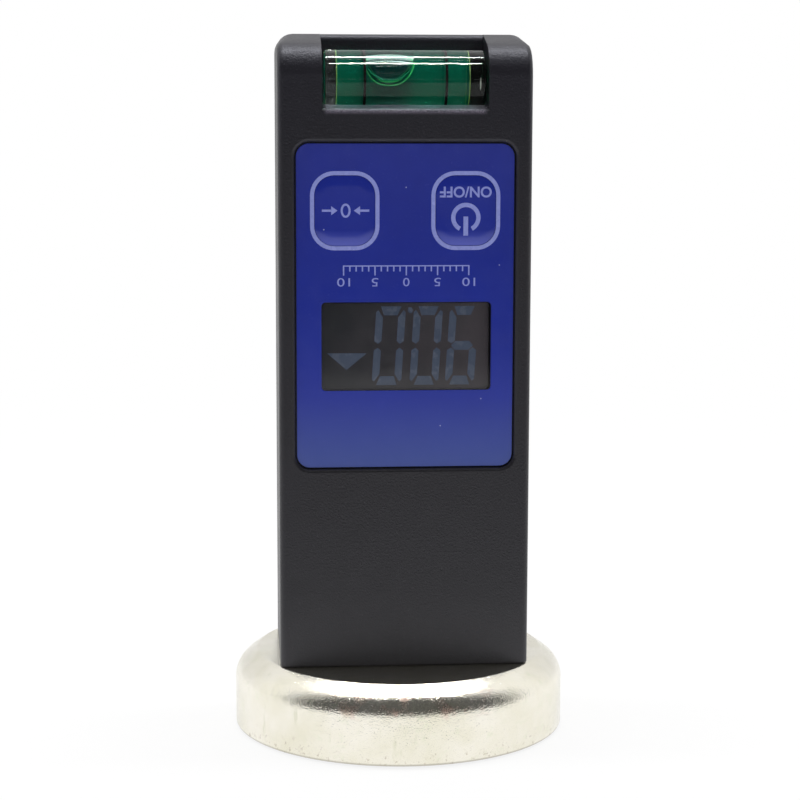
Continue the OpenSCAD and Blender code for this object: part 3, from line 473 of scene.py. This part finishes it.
def piece(name, mesh, body, material, replaced=()):
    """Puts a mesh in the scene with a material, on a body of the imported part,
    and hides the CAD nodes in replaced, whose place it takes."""
    made = bpy.data.objects.new(name, mesh)
    bpy.context.scene.collection.objects.link(made)
    mesh.materials.clear()
    mesh.materials.append(material)
    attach(made, body)
    if replaced:
        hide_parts(*replaced)
    return made


def mesh_of(name, build, smooth=True, sharp_degrees=None):
    """A mesh made by build(bm), with smooth faces up to the sharp angle."""
    bm = bmesh.new()
    build(bm)
    bmesh.ops.recalc_face_normals(bm, faces=bm.faces)
    mesh = bpy.data.meshes.new(name)
    bm.to_mesh(mesh)
    bm.free()
    if smooth:
        mesh.shade_smooth()
        if sharp_degrees:
            mesh.set_sharp_from_angle(angle=math.radians(sharp_degrees))
    return mesh


# How close two vertices are one, in metres, and two faces are one plane.
SAME_PLACE = 2e-7
SAME_PLANE_DEGREES = 0.4
MOULDED_SHARP_DEGREES = 30


def smoothed_copy(node, name, body):
    """A copy of a moulded CAD node whose rounded edges shade smoothly."""
    mesh = NODES[node].data.copy()
    mesh.name = name
    for attribute in [a for a in mesh.attributes if a.name == "custom_normal"]:
        mesh.attributes.remove(attribute)
    bm = bmesh.new()
    bm.from_mesh(mesh)
    bmesh.ops.remove_doubles(bm, verts=bm.verts, dist=SAME_PLACE)
    bmesh.ops.dissolve_limit(
        bm, angle_limit=math.radians(SAME_PLANE_DEGREES), verts=bm.verts,
        edges=bm.edges)
    bm.to_mesh(mesh)
    bm.free()
    mesh.shade_smooth()
    mesh.set_sharp_from_angle(angle=math.radians(MOULDED_SHARP_DEGREES))
    made = piece(name, mesh, body, BLACK_PLASTIC, [node])
    weighted = made.modifiers.new("even_normals", "WEIGHTED_NORMAL")
    weighted.mode = "FACE_AREA"
    weighted.weight = 80
    weighted.keep_sharp = True


smoothed_copy("front_shell", "front_housing", "case")
smoothed_copy("rear_shell", "rear_housing", "case")
smoothed_copy("battery_door", "battery_cover", "door")


def point(bm, x, y, z):
    """A vertex at a place in mm."""
    return bm.verts.new(Vector((x, y, z)) * MM)


def turns(count):
    """Angles that divide a full turn."""
    return [2 * math.pi * k / count for k in range(count)]


def skin(bm, rings, closed_ends=True):
    """Quads from ring to ring of vertices, and faces over the two ends."""
    for first, second in zip(rings, rings[1:]):
        for i in range(len(first)):
            j = (i + 1) % len(first)
            bm.faces.new((first[i], first[j], second[j], second[i]))
    if closed_ends:
        bm.faces.new(rings[0])
        bm.faces.new(rings[-1])


CORNER_STEPS = 10
LEAST_SIDE = 1e-4


def rounded_outline(width, height, radius):
    """Points of a rounded rectangle round the origin, anticlockwise."""
    radius = min(radius, width / 2 - LEAST_SIDE, height / 2 - LEAST_SIDE)
    points = []
    for turn in range(4):
        cx = (width / 2 - radius) * (1 if turn in (0, 3) else -1)
        cz = (height / 2 - radius) * (1 if turn < 2 else -1)
        for step in range(CORNER_STEPS + 1):
            angle = math.pi / 2 * (turn + step / CORNER_STEPS)
            points.append((cx + radius * math.cos(angle),
                           cz + radius * math.sin(angle)))
    return points


# Base cup, in mm: a small rim radius, a round side up to SIDE_DEGREES, a slope
# that goes on bending to TURN_DEGREES, and a quick turn into the flat top.
CUP_R, CUP_H, CUP_WALL, CUP_BORE_R = 33.0, 15.0, 2.0, 31.0
TURN_R, SLOPE, SIDE_R, RIM_R = 1.0, 2.8, 5.0, 0.5
SIDE_DEGREES, TURN_DEGREES = 52, 57
SLOPE_STEPS = TURN_DEGREES - SIDE_DEGREES + 1
CUP_STEPS = 240


def cup_profile():
    """(radius, z) points from inside the cup, under the rim and up the side to
    the middle of the top."""
    roof = CUP_H - CUP_WALL
    points = [(CUP_BORE_R / 2, roof), (CUP_BORE_R - 1, roof),
              (CUP_BORE_R, roof - 1), (CUP_BORE_R, 0.3), (CUP_BORE_R, 0.0)]
    for degrees in range(-90, 0, 15):
        n = math.radians(degrees)
        points.append((CUP_R - RIM_R + RIM_R * math.cos(n),
                       RIM_R + RIM_R * math.sin(n)))
    points.append((CUP_R, RIM_R))
    middle = math.radians((SIDE_DEGREES + TURN_DEGREES) / 2)
    r = CUP_R - SIDE_R
    z = CUP_H - (SIDE_R * math.sin(math.radians(SIDE_DEGREES))
                 + SLOPE * math.cos(middle)
                 + TURN_R * (1 - math.sin(math.radians(TURN_DEGREES))))
    for degrees in range(0, SIDE_DEGREES + 1, 2):
        n = math.radians(degrees)
        points.append((r + SIDE_R * math.cos(n), z + SIDE_R * math.sin(n)))
    r, z = points[-1]
    for k in range(SLOPE_STEPS):
        n = math.radians(SIDE_DEGREES + k)
        r -= SLOPE / SLOPE_STEPS * math.sin(n)
        z += SLOPE / SLOPE_STEPS * math.cos(n)
        points.append((r, z))
    r -= TURN_R * math.cos(math.radians(TURN_DEGREES))
    z = CUP_H - TURN_R
    for degrees in range(TURN_DEGREES + 3, 91, 3):
        n = math.radians(degrees)
        points.append((r + TURN_R * math.cos(n), z + TURN_R * math.sin(n)))
    return points + [(r * k / 4, CUP_H) for k in (3, 2, 1)]


def build_cup(bm):
    """The pressed steel cup, turned round the upright axis."""
    skin(bm, [[point(bm, radius * math.cos(a), radius * math.sin(a), z)
               for a in turns(CUP_STEPS)] for radius, z in cup_profile()])


piece("magnet_cup", mesh_of("magnet_cup", build_cup, sharp_degrees=40), "case",
      NICKEL, ["base_cup"])

# Keys, in mm: a pillow that the film is embossed into, on a hidden flange.
KEY_W, KEY_H, KEY_R = 11.6, 13.4, 3.8
KEY_X, KEY_Z = 11.55, 103.9
KEY_EDGE_Y, KEY_FACE_Y, KEY_BACK_Y = -15.12, -15.45, -14.65
EDGE_ROUND_Y, EDGE_ROUND = 0.08, 0.03
PILLOW, PILLOW_STEPS, PILLOW_POWER = 2.4, 14, 2.2
FLANGE, FLANGE_Y = 0.5, -14.15
# This film carries the painted highlight low on the keys.
KEY_FILM = film("blue_key_film_painted_highlight", painted_sheen_mm=(KEY_Z - 3.7, KEY_Z - 6.3))


def pillow_y(inset):
    """Height of the key's skin at a distance in from its edge."""
    share = min(max(inset, 0) / PILLOW, 1)
    return KEY_EDGE_Y + (KEY_FACE_Y - KEY_EDGE_Y) * (
        1 - (1 - share) ** PILLOW_POWER)


def key_inset(x, z):
    """Distance in from the key's outline, for a point from its centre."""
    across = abs(x) - (KEY_W / 2 - KEY_R)
    up = abs(z) - (KEY_H / 2 - KEY_R)
    outside = math.hypot(max(across, 0), max(up, 0))
    return KEY_R - outside - min(max(across, up), 0)


def key_outline(grow):
    """The outline of a key's pad, grown by some mm all round."""
    return rounded_outline(KEY_W + 2 * grow, KEY_H + 2 * grow, KEY_R + grow)


def make_key(name, node, body, centre_x):
    """A key's pad, from its hidden flange out to its pillow."""
    sections = [(FLANGE, FLANGE_Y), (FLANGE, KEY_BACK_Y), (0, KEY_BACK_Y),
                (0, KEY_EDGE_Y + EDGE_ROUND_Y), (-EDGE_ROUND, KEY_EDGE_Y)]
    for step in range(1, PILLOW_STEPS + 1):
        inset = PILLOW * step / PILLOW_STEPS
        sections.append((-inset, pillow_y(inset)))

    def build(bm):
        skin(bm, [[point(bm, centre_x + x, y, KEY_Z + z)
                   for x, z in key_outline(grow)] for grow, y in sections])
    piece(name, mesh_of(name, build, sharp_degrees=50), body,
          KEY_FILM, [node])


make_key("power_key_pad", "power_key", "power_button", KEY_X)
make_key("zero_key_pad", "zero_key", "zero_button", -KEY_X)

# ---------------------------------------------------------------- print

# In mm: where the film's face is, half the print's thickness, how close two
# corners are the same, and the size of the cells that follow a key's pillow.
FILM_FACE_Y = -15.2
INK = 0.012
SAME_CORNER = 1e-4
KEY_CELL = 0.5
CUT_ROUNDS = 3
ROUND_STEPS = 40


def mesh_from(data):
    """The mesh of a filled curve or of letters, which are then removed."""
    holder = bpy.data.objects.new(data.name, data)
    bpy.context.scene.collection.objects.link(holder)
    bpy.context.view_layer.update()
    mesh = bpy.data.meshes.new_from_object(
        holder.evaluated_get(bpy.context.evaluated_depsgraph_get()))
    bpy.data.objects.remove(holder)
    bpy.data.curves.remove(data)
    return mesh


def project(name, mesh, surface_y, body, material, cell=None):
    """Lays a mesh drawn in x and y, with z from -0.5 to 0.5, on a surface.

    Its faces are cut down to about cell mm, so that they follow a curve."""
    mesh.name = name
    bm = bmesh.new()
    bm.from_mesh(mesh)
    bmesh.ops.remove_doubles(bm, verts=bm.verts, dist=SAME_CORNER)
    if cell:
        for _ in range(CUT_ROUNDS):
            long_edges = [e for e in bm.edges if e.calc_length() > cell]
            if not long_edges:
                break
            bmesh.ops.subdivide_edges(bm, edges=long_edges, cuts=1)
        bmesh.ops.triangulate(bm, faces=bm.faces)
    for vert in bm.verts:
        x, z = vert.co.x, vert.co.y
        lift = INK if vert.co.z > 0 else -INK
        vert.co = Vector((x, surface_y(x, z) - lift, z)) * MM
    bmesh.ops.recalc_face_normals(bm, faces=bm.faces)
    bm.to_mesh(mesh)
    bm.free()
    piece(name, mesh, body, material)


def raised(name, outlines, surface_y, body,
           material=PALE_INK, cell=None):
    """Flat shapes with holes, printed INK proud of a surface y = f(x, z).

    outlines is a list of closed outlines in x and z. A hole is an outline
    inside another one."""
    curve = bpy.data.curves.new(name + "_outline", "CURVE")
    curve.dimensions = "2D"
    curve.fill_mode = "BOTH"
    curve.extrude = 0.5
    for outline in outlines:
        spline = curve.splines.new("POLY")
        spline.points.add(len(outline) - 1)
        for place, (x, z) in zip(spline.points, outline):
            place.co = (x, z, 0, 1)
        spline.use_cyclic_u = True
    project(name, mesh_from(curve), surface_y, body, material, cell)


def lettering(name, text, left, right, low, high, surface_y, body, weight=0.0):
    """Words or numbers that read upside down, fitted to a box in x and z."""
    font = bpy.data.curves.new(name + "_text", "FONT")
    font.body = text
    font.extrude = 0.5
    font.offset = weight
    mesh = mesh_from(font)
    xs = [v.co.x for v in mesh.vertices]
    ys = [v.co.y for v in mesh.vertices]
    start, wide = min(xs), max(xs) - min(xs)
    foot, tall = min(ys), max(ys) - min(ys)
    for vert in mesh.vertices:
        across = (vert.co.x - start) / wide
        up = (vert.co.y - foot) / tall
        vert.co.x = right - (right - left) * across
        vert.co.y = high - (high - low) * up
    project(name, mesh, surface_y, body, PALE_INK, KEY_CELL)


def flat(y):
    """A surface that is level at y, for prints."""
    return lambda x, z: y


def on_key(centre_x):
    """The skin of the key round centre_x."""
    def surface(x, z):
        return pillow_y(key_inset(x - centre_x, z - KEY_Z))
    return surface


def shifted(points, x, z):
    """An outline moved by x and z."""
    return [(px + x, pz + z) for px, pz in points]


def rectangle(left, right, low, high):
    """The outline of an upright rectangle."""
    return [(left, low), (right, low), (right, high), (left, high)]


def arc(cx, cz, radius, start, end):
    """Points of an arc between two angles in degrees."""
    points = []
    for k in range(ROUND_STEPS + 1):
        angle = math.radians(start + (end - start) * k / ROUND_STEPS)
        points.append((cx + radius * math.cos(angle),
                       cz + radius * math.sin(angle)))
    return points


def oval(cx, cz, half_width, half_height):
    """The outline of an upright ellipse."""
    return [(cx + half_width * math.cos(a), cz + half_height * math.sin(a))
            for a in turns(ROUND_STEPS)]


on_film = flat(FILM_FACE_Y)

# The pale frame round each key: LINE wide, a hair outside the key.
LINE, HAIR = 0.8, 0.02
for side, name in ((1, "power_key_border"), (-1, "zero_key_border")):
    raised(name, [shifted(key_outline(grow), side * KEY_X, KEY_Z)
                  for grow in (LINE, HAIR)], on_film, "case")


def power_symbol():
    """The power sign, upside down: an open ring with a bar in its gap."""
    cx, cz, outer, line = 11.54, 102.6, 2.82, 0.82
    gap_left, gap_right = 242, -62
    ring = (arc(cx, cz, outer, gap_right, gap_left)
            + arc(cx, cz, outer - line, gap_left, gap_right))
    return [ring, rectangle(11.08, 11.98, 99.16, 102.8)]


raised("power_key_symbol", power_symbol(), on_key(KEY_X), "power_button",
       cell=KEY_CELL)
lettering("power_key_words", "ON/OFF", 6.55, 16.48, 106.4, 108.5,
          on_key(KEY_X), "power_button", weight=0.022)


def zero_symbol():
    """Two arrows that point at a plain 0."""
    cx, cz = -11.4, 103.95
    tip, neck, tail = 1.55, 2.75, 4.5
    head, shaft = 0.85, 0.21
    arrow = [(tip, 0), (neck, head), (neck, shaft), (tail, shaft),
             (tail, -shaft), (neck, -shaft), (neck, -head)]
    arrows = [[(cx + side * x, cz + z) for x, z in arrow][::side]
              for side in (-1, 1)]
    return [oval(cx, cz, 0.95, 1.35), oval(cx, cz, 0.55, 0.95)] + arrows


raised("zero_key_symbol", zero_symbol(), on_key(-KEY_X), "zero_button",
       cell=KEY_CELL)

# A plain scale where the photographed panel has words: ticks that stand down
# from a line, with a long one and a number at every fifth.
SCALE_X, SCALE_Z, SCALE_PITCH, SCALE_TICKS = 0.2, 93.3, 1.2, 10
TICK_HALF, SHORT_TICK, LONG_TICK, SCALE_LINE = 0.13, 0.95, 1.7, 0.22
NUMBER_LOW, NUMBER_HIGH, FIGURE_HALF = 89.5, 91.1, 0.62


def angle_scale():
    """The ticks and the line along them, as outlines."""
    marks = []
    for k in range(-SCALE_TICKS, SCALE_TICKS + 1):
        length = SHORT_TICK if k % 5 else LONG_TICK
        x = SCALE_X + k * SCALE_PITCH
        marks.append(rectangle(x - TICK_HALF, x + TICK_HALF,
                               SCALE_Z - length, SCALE_Z))
    reach = SCALE_TICKS * SCALE_PITCH + TICK_HALF
    marks.append(rectangle(SCALE_X - reach, SCALE_X + reach, SCALE_Z,
                           SCALE_Z + SCALE_LINE))
    return marks


raised("panel_scale", angle_scale(), on_film, "case")
for k in range(-SCALE_TICKS, SCALE_TICKS + 1, 5):
    label = str(abs(k))
    middle, half = SCALE_X + k * SCALE_PITCH, FIGURE_HALF * len(label)
    lettering("panel_number_%d" % (202 + 12 * k), label, middle - half,
              middle + half, NUMBER_LOW, NUMBER_HIGH, on_film, "case")

# The print runs a little over the window's edge, more on the left.
window_frame = [
    shifted(rounded_outline(33.5, 17.9, 0.95), 0, 77.9),
    shifted(rounded_outline(32.6, 17.05, 0.8), 0.25, 77.93)]
raised("window_print_frame", window_frame, on_film, "case", material=FILM)

# ---------------------------------------------------------------- display

LCD_FACE_Y = -13.5
DIGIT_TOP, DIGIT_FOOT = 85.5, 70.25
DIGIT_H = DIGIT_TOP - DIGIT_FOOT


def digit(top_x, foot_x, width, on):
    """Outlines of a leaning seven segment digit, given the places of its left
    side at the top and at the foot. on names the segments that are lit."""
    side, bar, gap, corner, nose = 1.38, 1.72, 0.15, 0.72, 0.55
    middle = DIGIT_H / 2

    def place(u, v):
        return (foot_x + (top_x - foot_x) * v / DIGIT_H + u, DIGIT_FOOT + v)

    inner, waist = side + gap, side + gap * 0.5
    shapes = {
        "top": [(corner + gap, DIGIT_H), (width - corner - gap, DIGIT_H),
                (width - inner, DIGIT_H - bar), (inner, DIGIT_H - bar)],
        "bottom": [(inner, bar), (width - inner, bar),
                   (width - corner - gap, 0), (corner + gap, 0)],
        "middle": [(nose + gap, middle), (waist, middle + bar / 2),
                   (width - waist, middle + bar / 2),
                   (width - nose - gap, middle),
                   (width - waist, middle - bar / 2),
                   (waist, middle - bar / 2)],
    }
    upper = [(0.0, middle + 0.9), (0.0, DIGIT_H - 1.1),
             (0.42, DIGIT_H - corner), (side, DIGIT_H - bar - 0.45),
             (side, middle + 0.95), (side * 0.55, middle + 0.38)]
    lower = [(u, 2 * middle - v) for u, v in upper][::-1]
    shapes["upper_left"] = upper
    shapes["lower_left"] = lower
    shapes["upper_right"] = [(width - u, v) for u, v in upper][::-1]
    shapes["lower_right"] = [(width - u, v) for u, v in lower][::-1]
    return [[place(u, v) for u, v in shapes[key]] for key in on]


ZERO = ("top", "bottom", "upper_left", "upper_right", "lower_left",
        "lower_right")
NINE_TURNED = ("top", "bottom", "upper_left", "middle", "lower_left",
               "lower_right")
LCD_ARROW = [(-14.95, 76.5), (-7.3, 76.45), (-11.2, 73.24)]
LCD_POINT = [(0.75, 85.3), (0.62, 84.6), (0.95, 84.2), (1.4, 84.2),
             (1.62, 84.7), (1.4, 85.3)]
segments = (digit(-5.41, -6.36, 5.7, ZERO) + digit(1.85, 0.93, 5.6, ZERO)
            + digit(8.8, 7.8, 5.65, NINE_TURNED) + [LCD_ARROW, LCD_POINT])
raised("lcd_segments", segments, flat(LCD_FACE_Y), "case", LCD_INK)

# ---------------------------------------------------------------- vial

# In mm. The vial's axis runs along x; places along it are values of x.
VIAL_Y, VIAL_Z = -10.5, 128.7
TUBE_R, BORE_R = 5.5, 4.4
TUBE_HALF = 15.35
FLUID_LEFT, FLUID_RIGHT = -13.15, 12.3
BUBBLE_X, BUBBLE_LEN = -3.0, 9.5
BUBBLE_TOP, BUBBLE_LOW, RIM_TOP = 3.9, -0.9, 3.4
BUBBLE_DEPTH = BUBBLE_TOP - BUBBLE_LOW
ACRYLIC_IOR, SPIRIT_IOR = 1.49, 1.36
LATHE_STEPS = 96
END_STEPS, LENGTH_STEPS = 5, 12


def lathe(bm, profile, closed_ends=True):
    """Turns (x, radius) points round the vial's axis."""
    skin(bm, [[point(bm, x, VIAL_Y + radius * math.cos(a),
                     VIAL_Z + radius * math.sin(a))
               for a in turns(LATHE_STEPS)] for x, radius in profile],
         closed_ends)


def rod(name, left, right, radius, edge):
    """A rod along the vial's axis, with rounded ends."""
    profile = [(left, radius - edge)]
    for k in range(1, END_STEPS + 1):
        a = math.pi / 2 * k / END_STEPS
        profile.append((left + edge * (1 - math.cos(a)),
                        radius - edge + edge * math.sin(a)))
    profile += [(left + (right - left) * k / LENGTH_STEPS, radius)
                for k in range(1, LENGTH_STEPS)]
    for k in range(END_STEPS + 1):
        a = math.pi / 2 * (1 - k / END_STEPS)
        profile.append((right - edge * (1 - math.cos(a)),
                        radius - edge + edge * math.sin(a)))
    return mesh_of(name, lambda bm: lathe(bm, profile), sharp_degrees=40)


def bands(name, centres, half, inner, outer):
    """Thin rings round the vial's axis."""
    def build(bm):
        for x in centres:
            lathe(bm, [(x - half, inner), (x - half, outer), (x + half, outer),
                       (x + half, inner), (x - half, inner)],
                  closed_ends=False)
        bmesh.ops.remove_doubles(bm, verts=bm.verts, dist=1e-7)
    return mesh_of(name, build, sharp_degrees=40)


piece("vial_body", rod("vial_body", -TUBE_HALF, TUBE_HALF, TUBE_R, 0.5),
      "case",
      glass("clear_acrylic_vial", ACRYLIC_IOR, (238, 244, 238), gloss=0.5),
      ["vial_tube"])
piece("vial_spirit", rod("vial_spirit", FLUID_LEFT, FLUID_RIGHT, BORE_R, 0.5),
      "case",
      glass("green_spirit_fill", SPIRIT_IOR / ACRYLIC_IOR,
            absorbs=(6, 243, 218), density=310,
            scatters=(24, 250, 232), cloud=50),
      ["vial_fluid"])
piece("vial_stopper",
      rod("vial_stopper", FLUID_RIGHT + 0.05, TUBE_HALF - 0.1, BORE_R, 0.4),
      "case",
      glass("vial_stopper_clear", 1.04, (150, 160, 150), 0.05), ["vial_plug"])
piece("vial_ring_bands",
      bands("vial_ring_bands", (-7.75, 7.75), 0.26, TUBE_R - 0.12,
            TUBE_R - 0.04),
      "case",
      plain_finish("black_ring_print", (5, 7, 7), (9, 11, 11),
                   rough=(0.5, 0.6), patch_mm=1, depth_mm=0.004, specular=0.1),
      ["vial_rings"])
# Painted highlight: thin pale green bands where the fluid ends against the
# acrylic stand in for the bright lines seen there.
piece("vial_fluid_edge_painted_glints",
      bands("vial_fluid_edge_painted_glints", (FLUID_LEFT + 0.1, FLUID_RIGHT - 0.1), 0.07,
            BORE_R - 0.1, BORE_R - 0.04),
      "case",
      plain_finish("painted_pale_green_glint", (120, 158, 70), (98, 140, 62),
                   rough=(0.4, 0.5), patch_mm=1, depth_mm=0.004))


def stopper_streak(bm):
    """A thin sliver in the stopper's end, painted pale as a glint."""
    x, low, high, radius = 14.15, -2.05, 0.3, TUBE_R - 0.35
    widest, thick, count = 0.13, 0.1, 9
    left, right = [], []
    for k in range(count):
        z = low + (high - low) * k / (count - 1)
        half = widest * math.sin(math.pi * (k + 0.5) / count)
        y = VIAL_Y - math.sqrt(radius ** 2 - z ** 2)
        left.append(point(bm, x - half, y, VIAL_Z + z))
        right.append(point(bm, x + half, y, VIAL_Z + z))
    for k in range(count - 1):
        bm.faces.new((left[k], right[k], right[k + 1], left[k + 1]))
    extruded = bmesh.ops.extrude_face_region(bm, geom=bm.faces[:])
    for made in extruded["geom"]:
        if isinstance(made, bmesh.types.BMVert):
            made.co.y += thick * MM


piece("stopper_streak", mesh_of("stopper_streak", stopper_streak, smooth=False),
      "case",
      plain_finish("painted_pale_glint", (186, 188, 182), (120, 124, 118),
                   rough=(0.4, 0.6), patch_mm=0.5, depth_mm=0.01))


def bubble_slice(t):
    """The size of the bubble's section, 0 to 1, for t from -1 to 1 along it."""
    return math.sqrt(max(1 - abs(t) ** 2.4, 0))


def bubble_build(bm):
    """An air bubble that lies along the top of the bore: its roof is the
    bore's arc and its underside bulges down."""
    columns, around = 40, 32
    rings = []
    for i in range(1, columns):
        t = -math.cos(math.pi * i / columns)
        deep = BUBBLE_DEPTH * bubble_slice(t)
        waist = BUBBLE_TOP - 0.55 * deep
        half = math.sqrt(BUBBLE_TOP ** 2 - waist ** 2)
        sag = 0.9 * deep / BUBBLE_DEPTH * (1 - bubble_slice(t))
        ring = []
        for k in range(around):
            if k < around / 2:
                dy = half * (1 - 4 * k / around)
                dz = math.sqrt(max(BUBBLE_TOP ** 2 - dy ** 2, 0)) - sag
            else:
                dy = half * (4 * k / around - 3)
                belly = math.sqrt(max(1 - (dy / half) ** 2, 0))
                dz = waist - sag - (0.45 * deep - sag) * belly
            ring.append(point(bm, BUBBLE_X + t * BUBBLE_LEN / 2, VIAL_Y + dy,
                              VIAL_Z + dz))
        rings.append(ring)
    skin(bm, rings)


def bubble_rims(bm):
    """Two painted glints: bright green lines that hug the bubble's underside, in
    front of the axis. They are thicker towards their right ends."""
    sides, steps, thin, forward = 6, 48, 0.07, 2.2
    for shrink, lift in ((1.0, -0.12), (0.91, 0.42)):
        rings = []
        for i in range(2, steps - 1):
            t = -math.cos(math.pi * i / steps)
            deep = (RIM_TOP - BUBBLE_LOW) * bubble_slice(t)
            x = BUBBLE_X + t * shrink * BUBBLE_LEN / 2
            z = VIAL_Z + RIM_TOP - deep + lift
            thick = thin + thin * min(max((t - 0.45) / 0.4, 0), 1)
            slope = math.atan2(t * 1.2 * BUBBLE_DEPTH * 2,
                               max(bubble_slice(t), 0.05) * BUBBLE_LEN)
            rings.append([
                point(bm, x - thick * math.cos(a) * math.sin(slope),
                      VIAL_Y - forward + thick * math.sin(a),
                      z + thick * math.cos(a) * math.cos(slope))
                for a in turns(sides)])
        skin(bm, rings)


# Painted shade: the bubble's air has a dim purple tint that darkens its inside.
piece("spirit_bubble", mesh_of("spirit_bubble", bubble_build), "bubble",
      glass("bubble_air_painted_shade", 1 / SPIRIT_IOR, (150, 112, 140)),
      ["vial_bubble"])
piece("spirit_bubble_painted_glints", mesh_of("spirit_bubble_painted_glints", bubble_rims),
      "bubble",
      plain_finish("painted_bright_green_glint", (110, 250, 150), (70, 220, 120),
                   rough=(0.25, 0.35), patch_mm=0.8, depth_mm=0.003))

# ---------------------------------------------------------------- studio

# Everything from here on is in metres.
FLOOR_HALF, FLOOR_DROP = 3.0, 0.0003


def make_floor():
    """A pale paper floor. The camera sees it nearly white, with a little of
    its real shading near the gauge. Reflections show it white as well, but
    for a slightly dim patch in front of the gauge and a dark far front."""
    near, far = -FLOOR_HALF, FLOOR_HALF
    mesh = bpy.data.meshes.new("floor")
    mesh.from_pydata(
        [(near, near, 0), (far, near, 0), (far, far, 0), (near, far, 0)],
        [], [(0, 1, 2, 3)])
    floor = bpy.data.objects.new("floor", mesh)
    bpy.context.scene.collection.objects.link(floor)
    floor.location.z = -FLOOR_DROP
    shader = Shader("pale_floor")
    y = shader.axes["Y"]
    grain = shader.remap(shader.noise(3, 3), 0.3, 0.7)
    paper = shader.add("ShaderNodeBsdfDiffuse", {"Color": shader.mix(
        grain, (0.86, 0.86, 0.86, 1), (0.88, 0.88, 0.88, 1))})
    path = shader.add("ShaderNodeLightPath").outputs
    direct = shader.math("LESS_THAN", path["Diffuse Depth"], 0.5)
    glossy = shader.math("MULTIPLY", path["Is Glossy Ray"], direct)
    mirrored = shader.math("MULTIPLY", glossy, shader.remap(y, -0.60, -0.42))
    through = shader.math("MULTIPLY", path["Is Transmission Ray"], direct)
    seen = shader.math("MAXIMUM", path["Is Camera Ray"], mirrored)
    seen = shader.math("MAXIMUM", seen, through)
    dimmed = shader.product(
        shader.remap(y, -0.32, -0.26), shader.remap(y, -0.11, -0.07, 1, 0),
        glossy, 0.12)
    white = shader.add("ShaderNodeEmission", {
        "Strength": shader.math("SUBTRACT", 1.0, dimmed)})
    radius = shader.add("ShaderNodeVectorMath", {0: shader.place},
                        operation="LENGTH").outputs["Value"]
    share = shader.remap(radius, 0.04, 0.5, 0.86, 1)
    joined = shader.add("ShaderNodeMixShader", {
        0: shader.math("MULTIPLY", seen, share),
        1: paper.outputs["BSDF"], 2: white.outputs["Emission"]})
    dim = shader.add("ShaderNodeEmission", {"Strength": 0.08})
    surface = shader.add("ShaderNodeMixShader", {
        0: shader.math("SUBTRACT", glossy, mirrored),
        1: joined.outputs["Shader"], 2: dim.outputs["Emission"]})
    shader.feed(shader.output.inputs["Surface"], surface.outputs["Shader"])
    mesh.materials.append(shader.material)


def make_world():
    """White to the camera. The room is dark on the camera's side and bright
    above and behind, which is what the metal and the gloss show."""
    world = bpy.data.worlds.new("studio")
    bpy.context.scene.world = world
    nodes = Nodes(world)

    def ramp(value, *ends):
        return nodes.remap(value, *ends, interpolation_type="SMOOTHSTEP")

    direction = nodes.add("ShaderNodeTexCoord").outputs["Generated"]
    axes = nodes.add("ShaderNodeSeparateXYZ", {"Vector": direction}).outputs
    dark = nodes.product(ramp(axes["Y"], -0.22, 0.03, 1, 0),
                         ramp(axes["Z"], -0.02, 0.02, 0, 1))
    behind = nodes.product(ramp(axes["Y"], 0.4, 0.75, 0, 0.2),
                           ramp(axes["Z"], 0.6, 0.9, 1, 0))
    level = nodes.math("SUBTRACT", nodes.math("SUBTRACT", 1.0, behind),
                       nodes.math("MULTIPLY", dark, 0.92))
    light = nodes.math("SUBTRACT", 0.95, nodes.math("MULTIPLY", dark, 0.35))
    path = nodes.add("ShaderNodeLightPath").outputs
    mirrored = nodes.math(
        "MAXIMUM", path["Is Glossy Ray"], path["Is Transmission Ray"])
    glossy = nodes.math("MULTIPLY", mirrored, nodes.math(
        "LESS_THAN", path["Diffuse Depth"], 0.5))
    lit = nodes.math(
        "ADD", nodes.math("MULTIPLY", glossy, level),
        nodes.math("MULTIPLY", nodes.math("SUBTRACT", 1.0, glossy), light))
    background = nodes.add("ShaderNodeBackground", {
        "Color": (1, 1, 1, 1),
        "Strength": nodes.math("MAXIMUM", path["Is Camera Ray"], lit)})
    nodes.add("ShaderNodeOutputWorld", {"Surface": background.outputs[0]})


# Strip lamps: the place and the size. Each is aimed at the upper gauge.
TOP_STRIP = (0.0, 0.09, 1.13), (0.9, 0.10)
FRONT_STRIP = (0.08, -0.45, 1.0), (0.3, 0.07)


def strip_lamp(name, place, size, power, aim_z=0.13, lit=()):
    """A strip lamp. With lit, it lights only the pieces that lit names."""
    data = bpy.data.lights.new(name, "AREA")
    data.shape = "RECTANGLE"
    data.size, data.size_y = size
    data.energy = power
    lamp = bpy.data.objects.new(name, data)
    bpy.context.scene.collection.objects.link(lamp)
    lamp.location = place
    aim = Vector((0, 0, aim_z)) - Vector(place)
    lamp.rotation_euler = aim.to_track_quat("-Z", "Y").to_euler()
    if lit:
        receivers = bpy.data.collections.new("lit_by_" + name)
        for piece_name in lit:
            receivers.objects.link(bpy.data.objects[piece_name])
        lamp.light_linking.receiver_collection = receivers


make_floor()
make_world()
strip_lamp("top_strip", *TOP_STRIP, 7.0, aim_z=0.1)
strip_lamp("strip_on_tube", *FRONT_STRIP, 9.0, lit=("vial_body",))
strip_lamp("strip_on_spirit", *FRONT_STRIP, 4.2,
           lit=("vial_spirit", "vial_stopper", "spirit_bubble"))
strip_lamp("strip_on_case", *FRONT_STRIP, 0.5,
           lit=("front_housing", "power_key_pad", "zero_key_pad"))
strip_lamp("top_strip_on_tube", *TOP_STRIP, 8.0, lit=("vial_body",))

scene = bpy.context.scene
scene.view_settings.view_transform = "Standard"
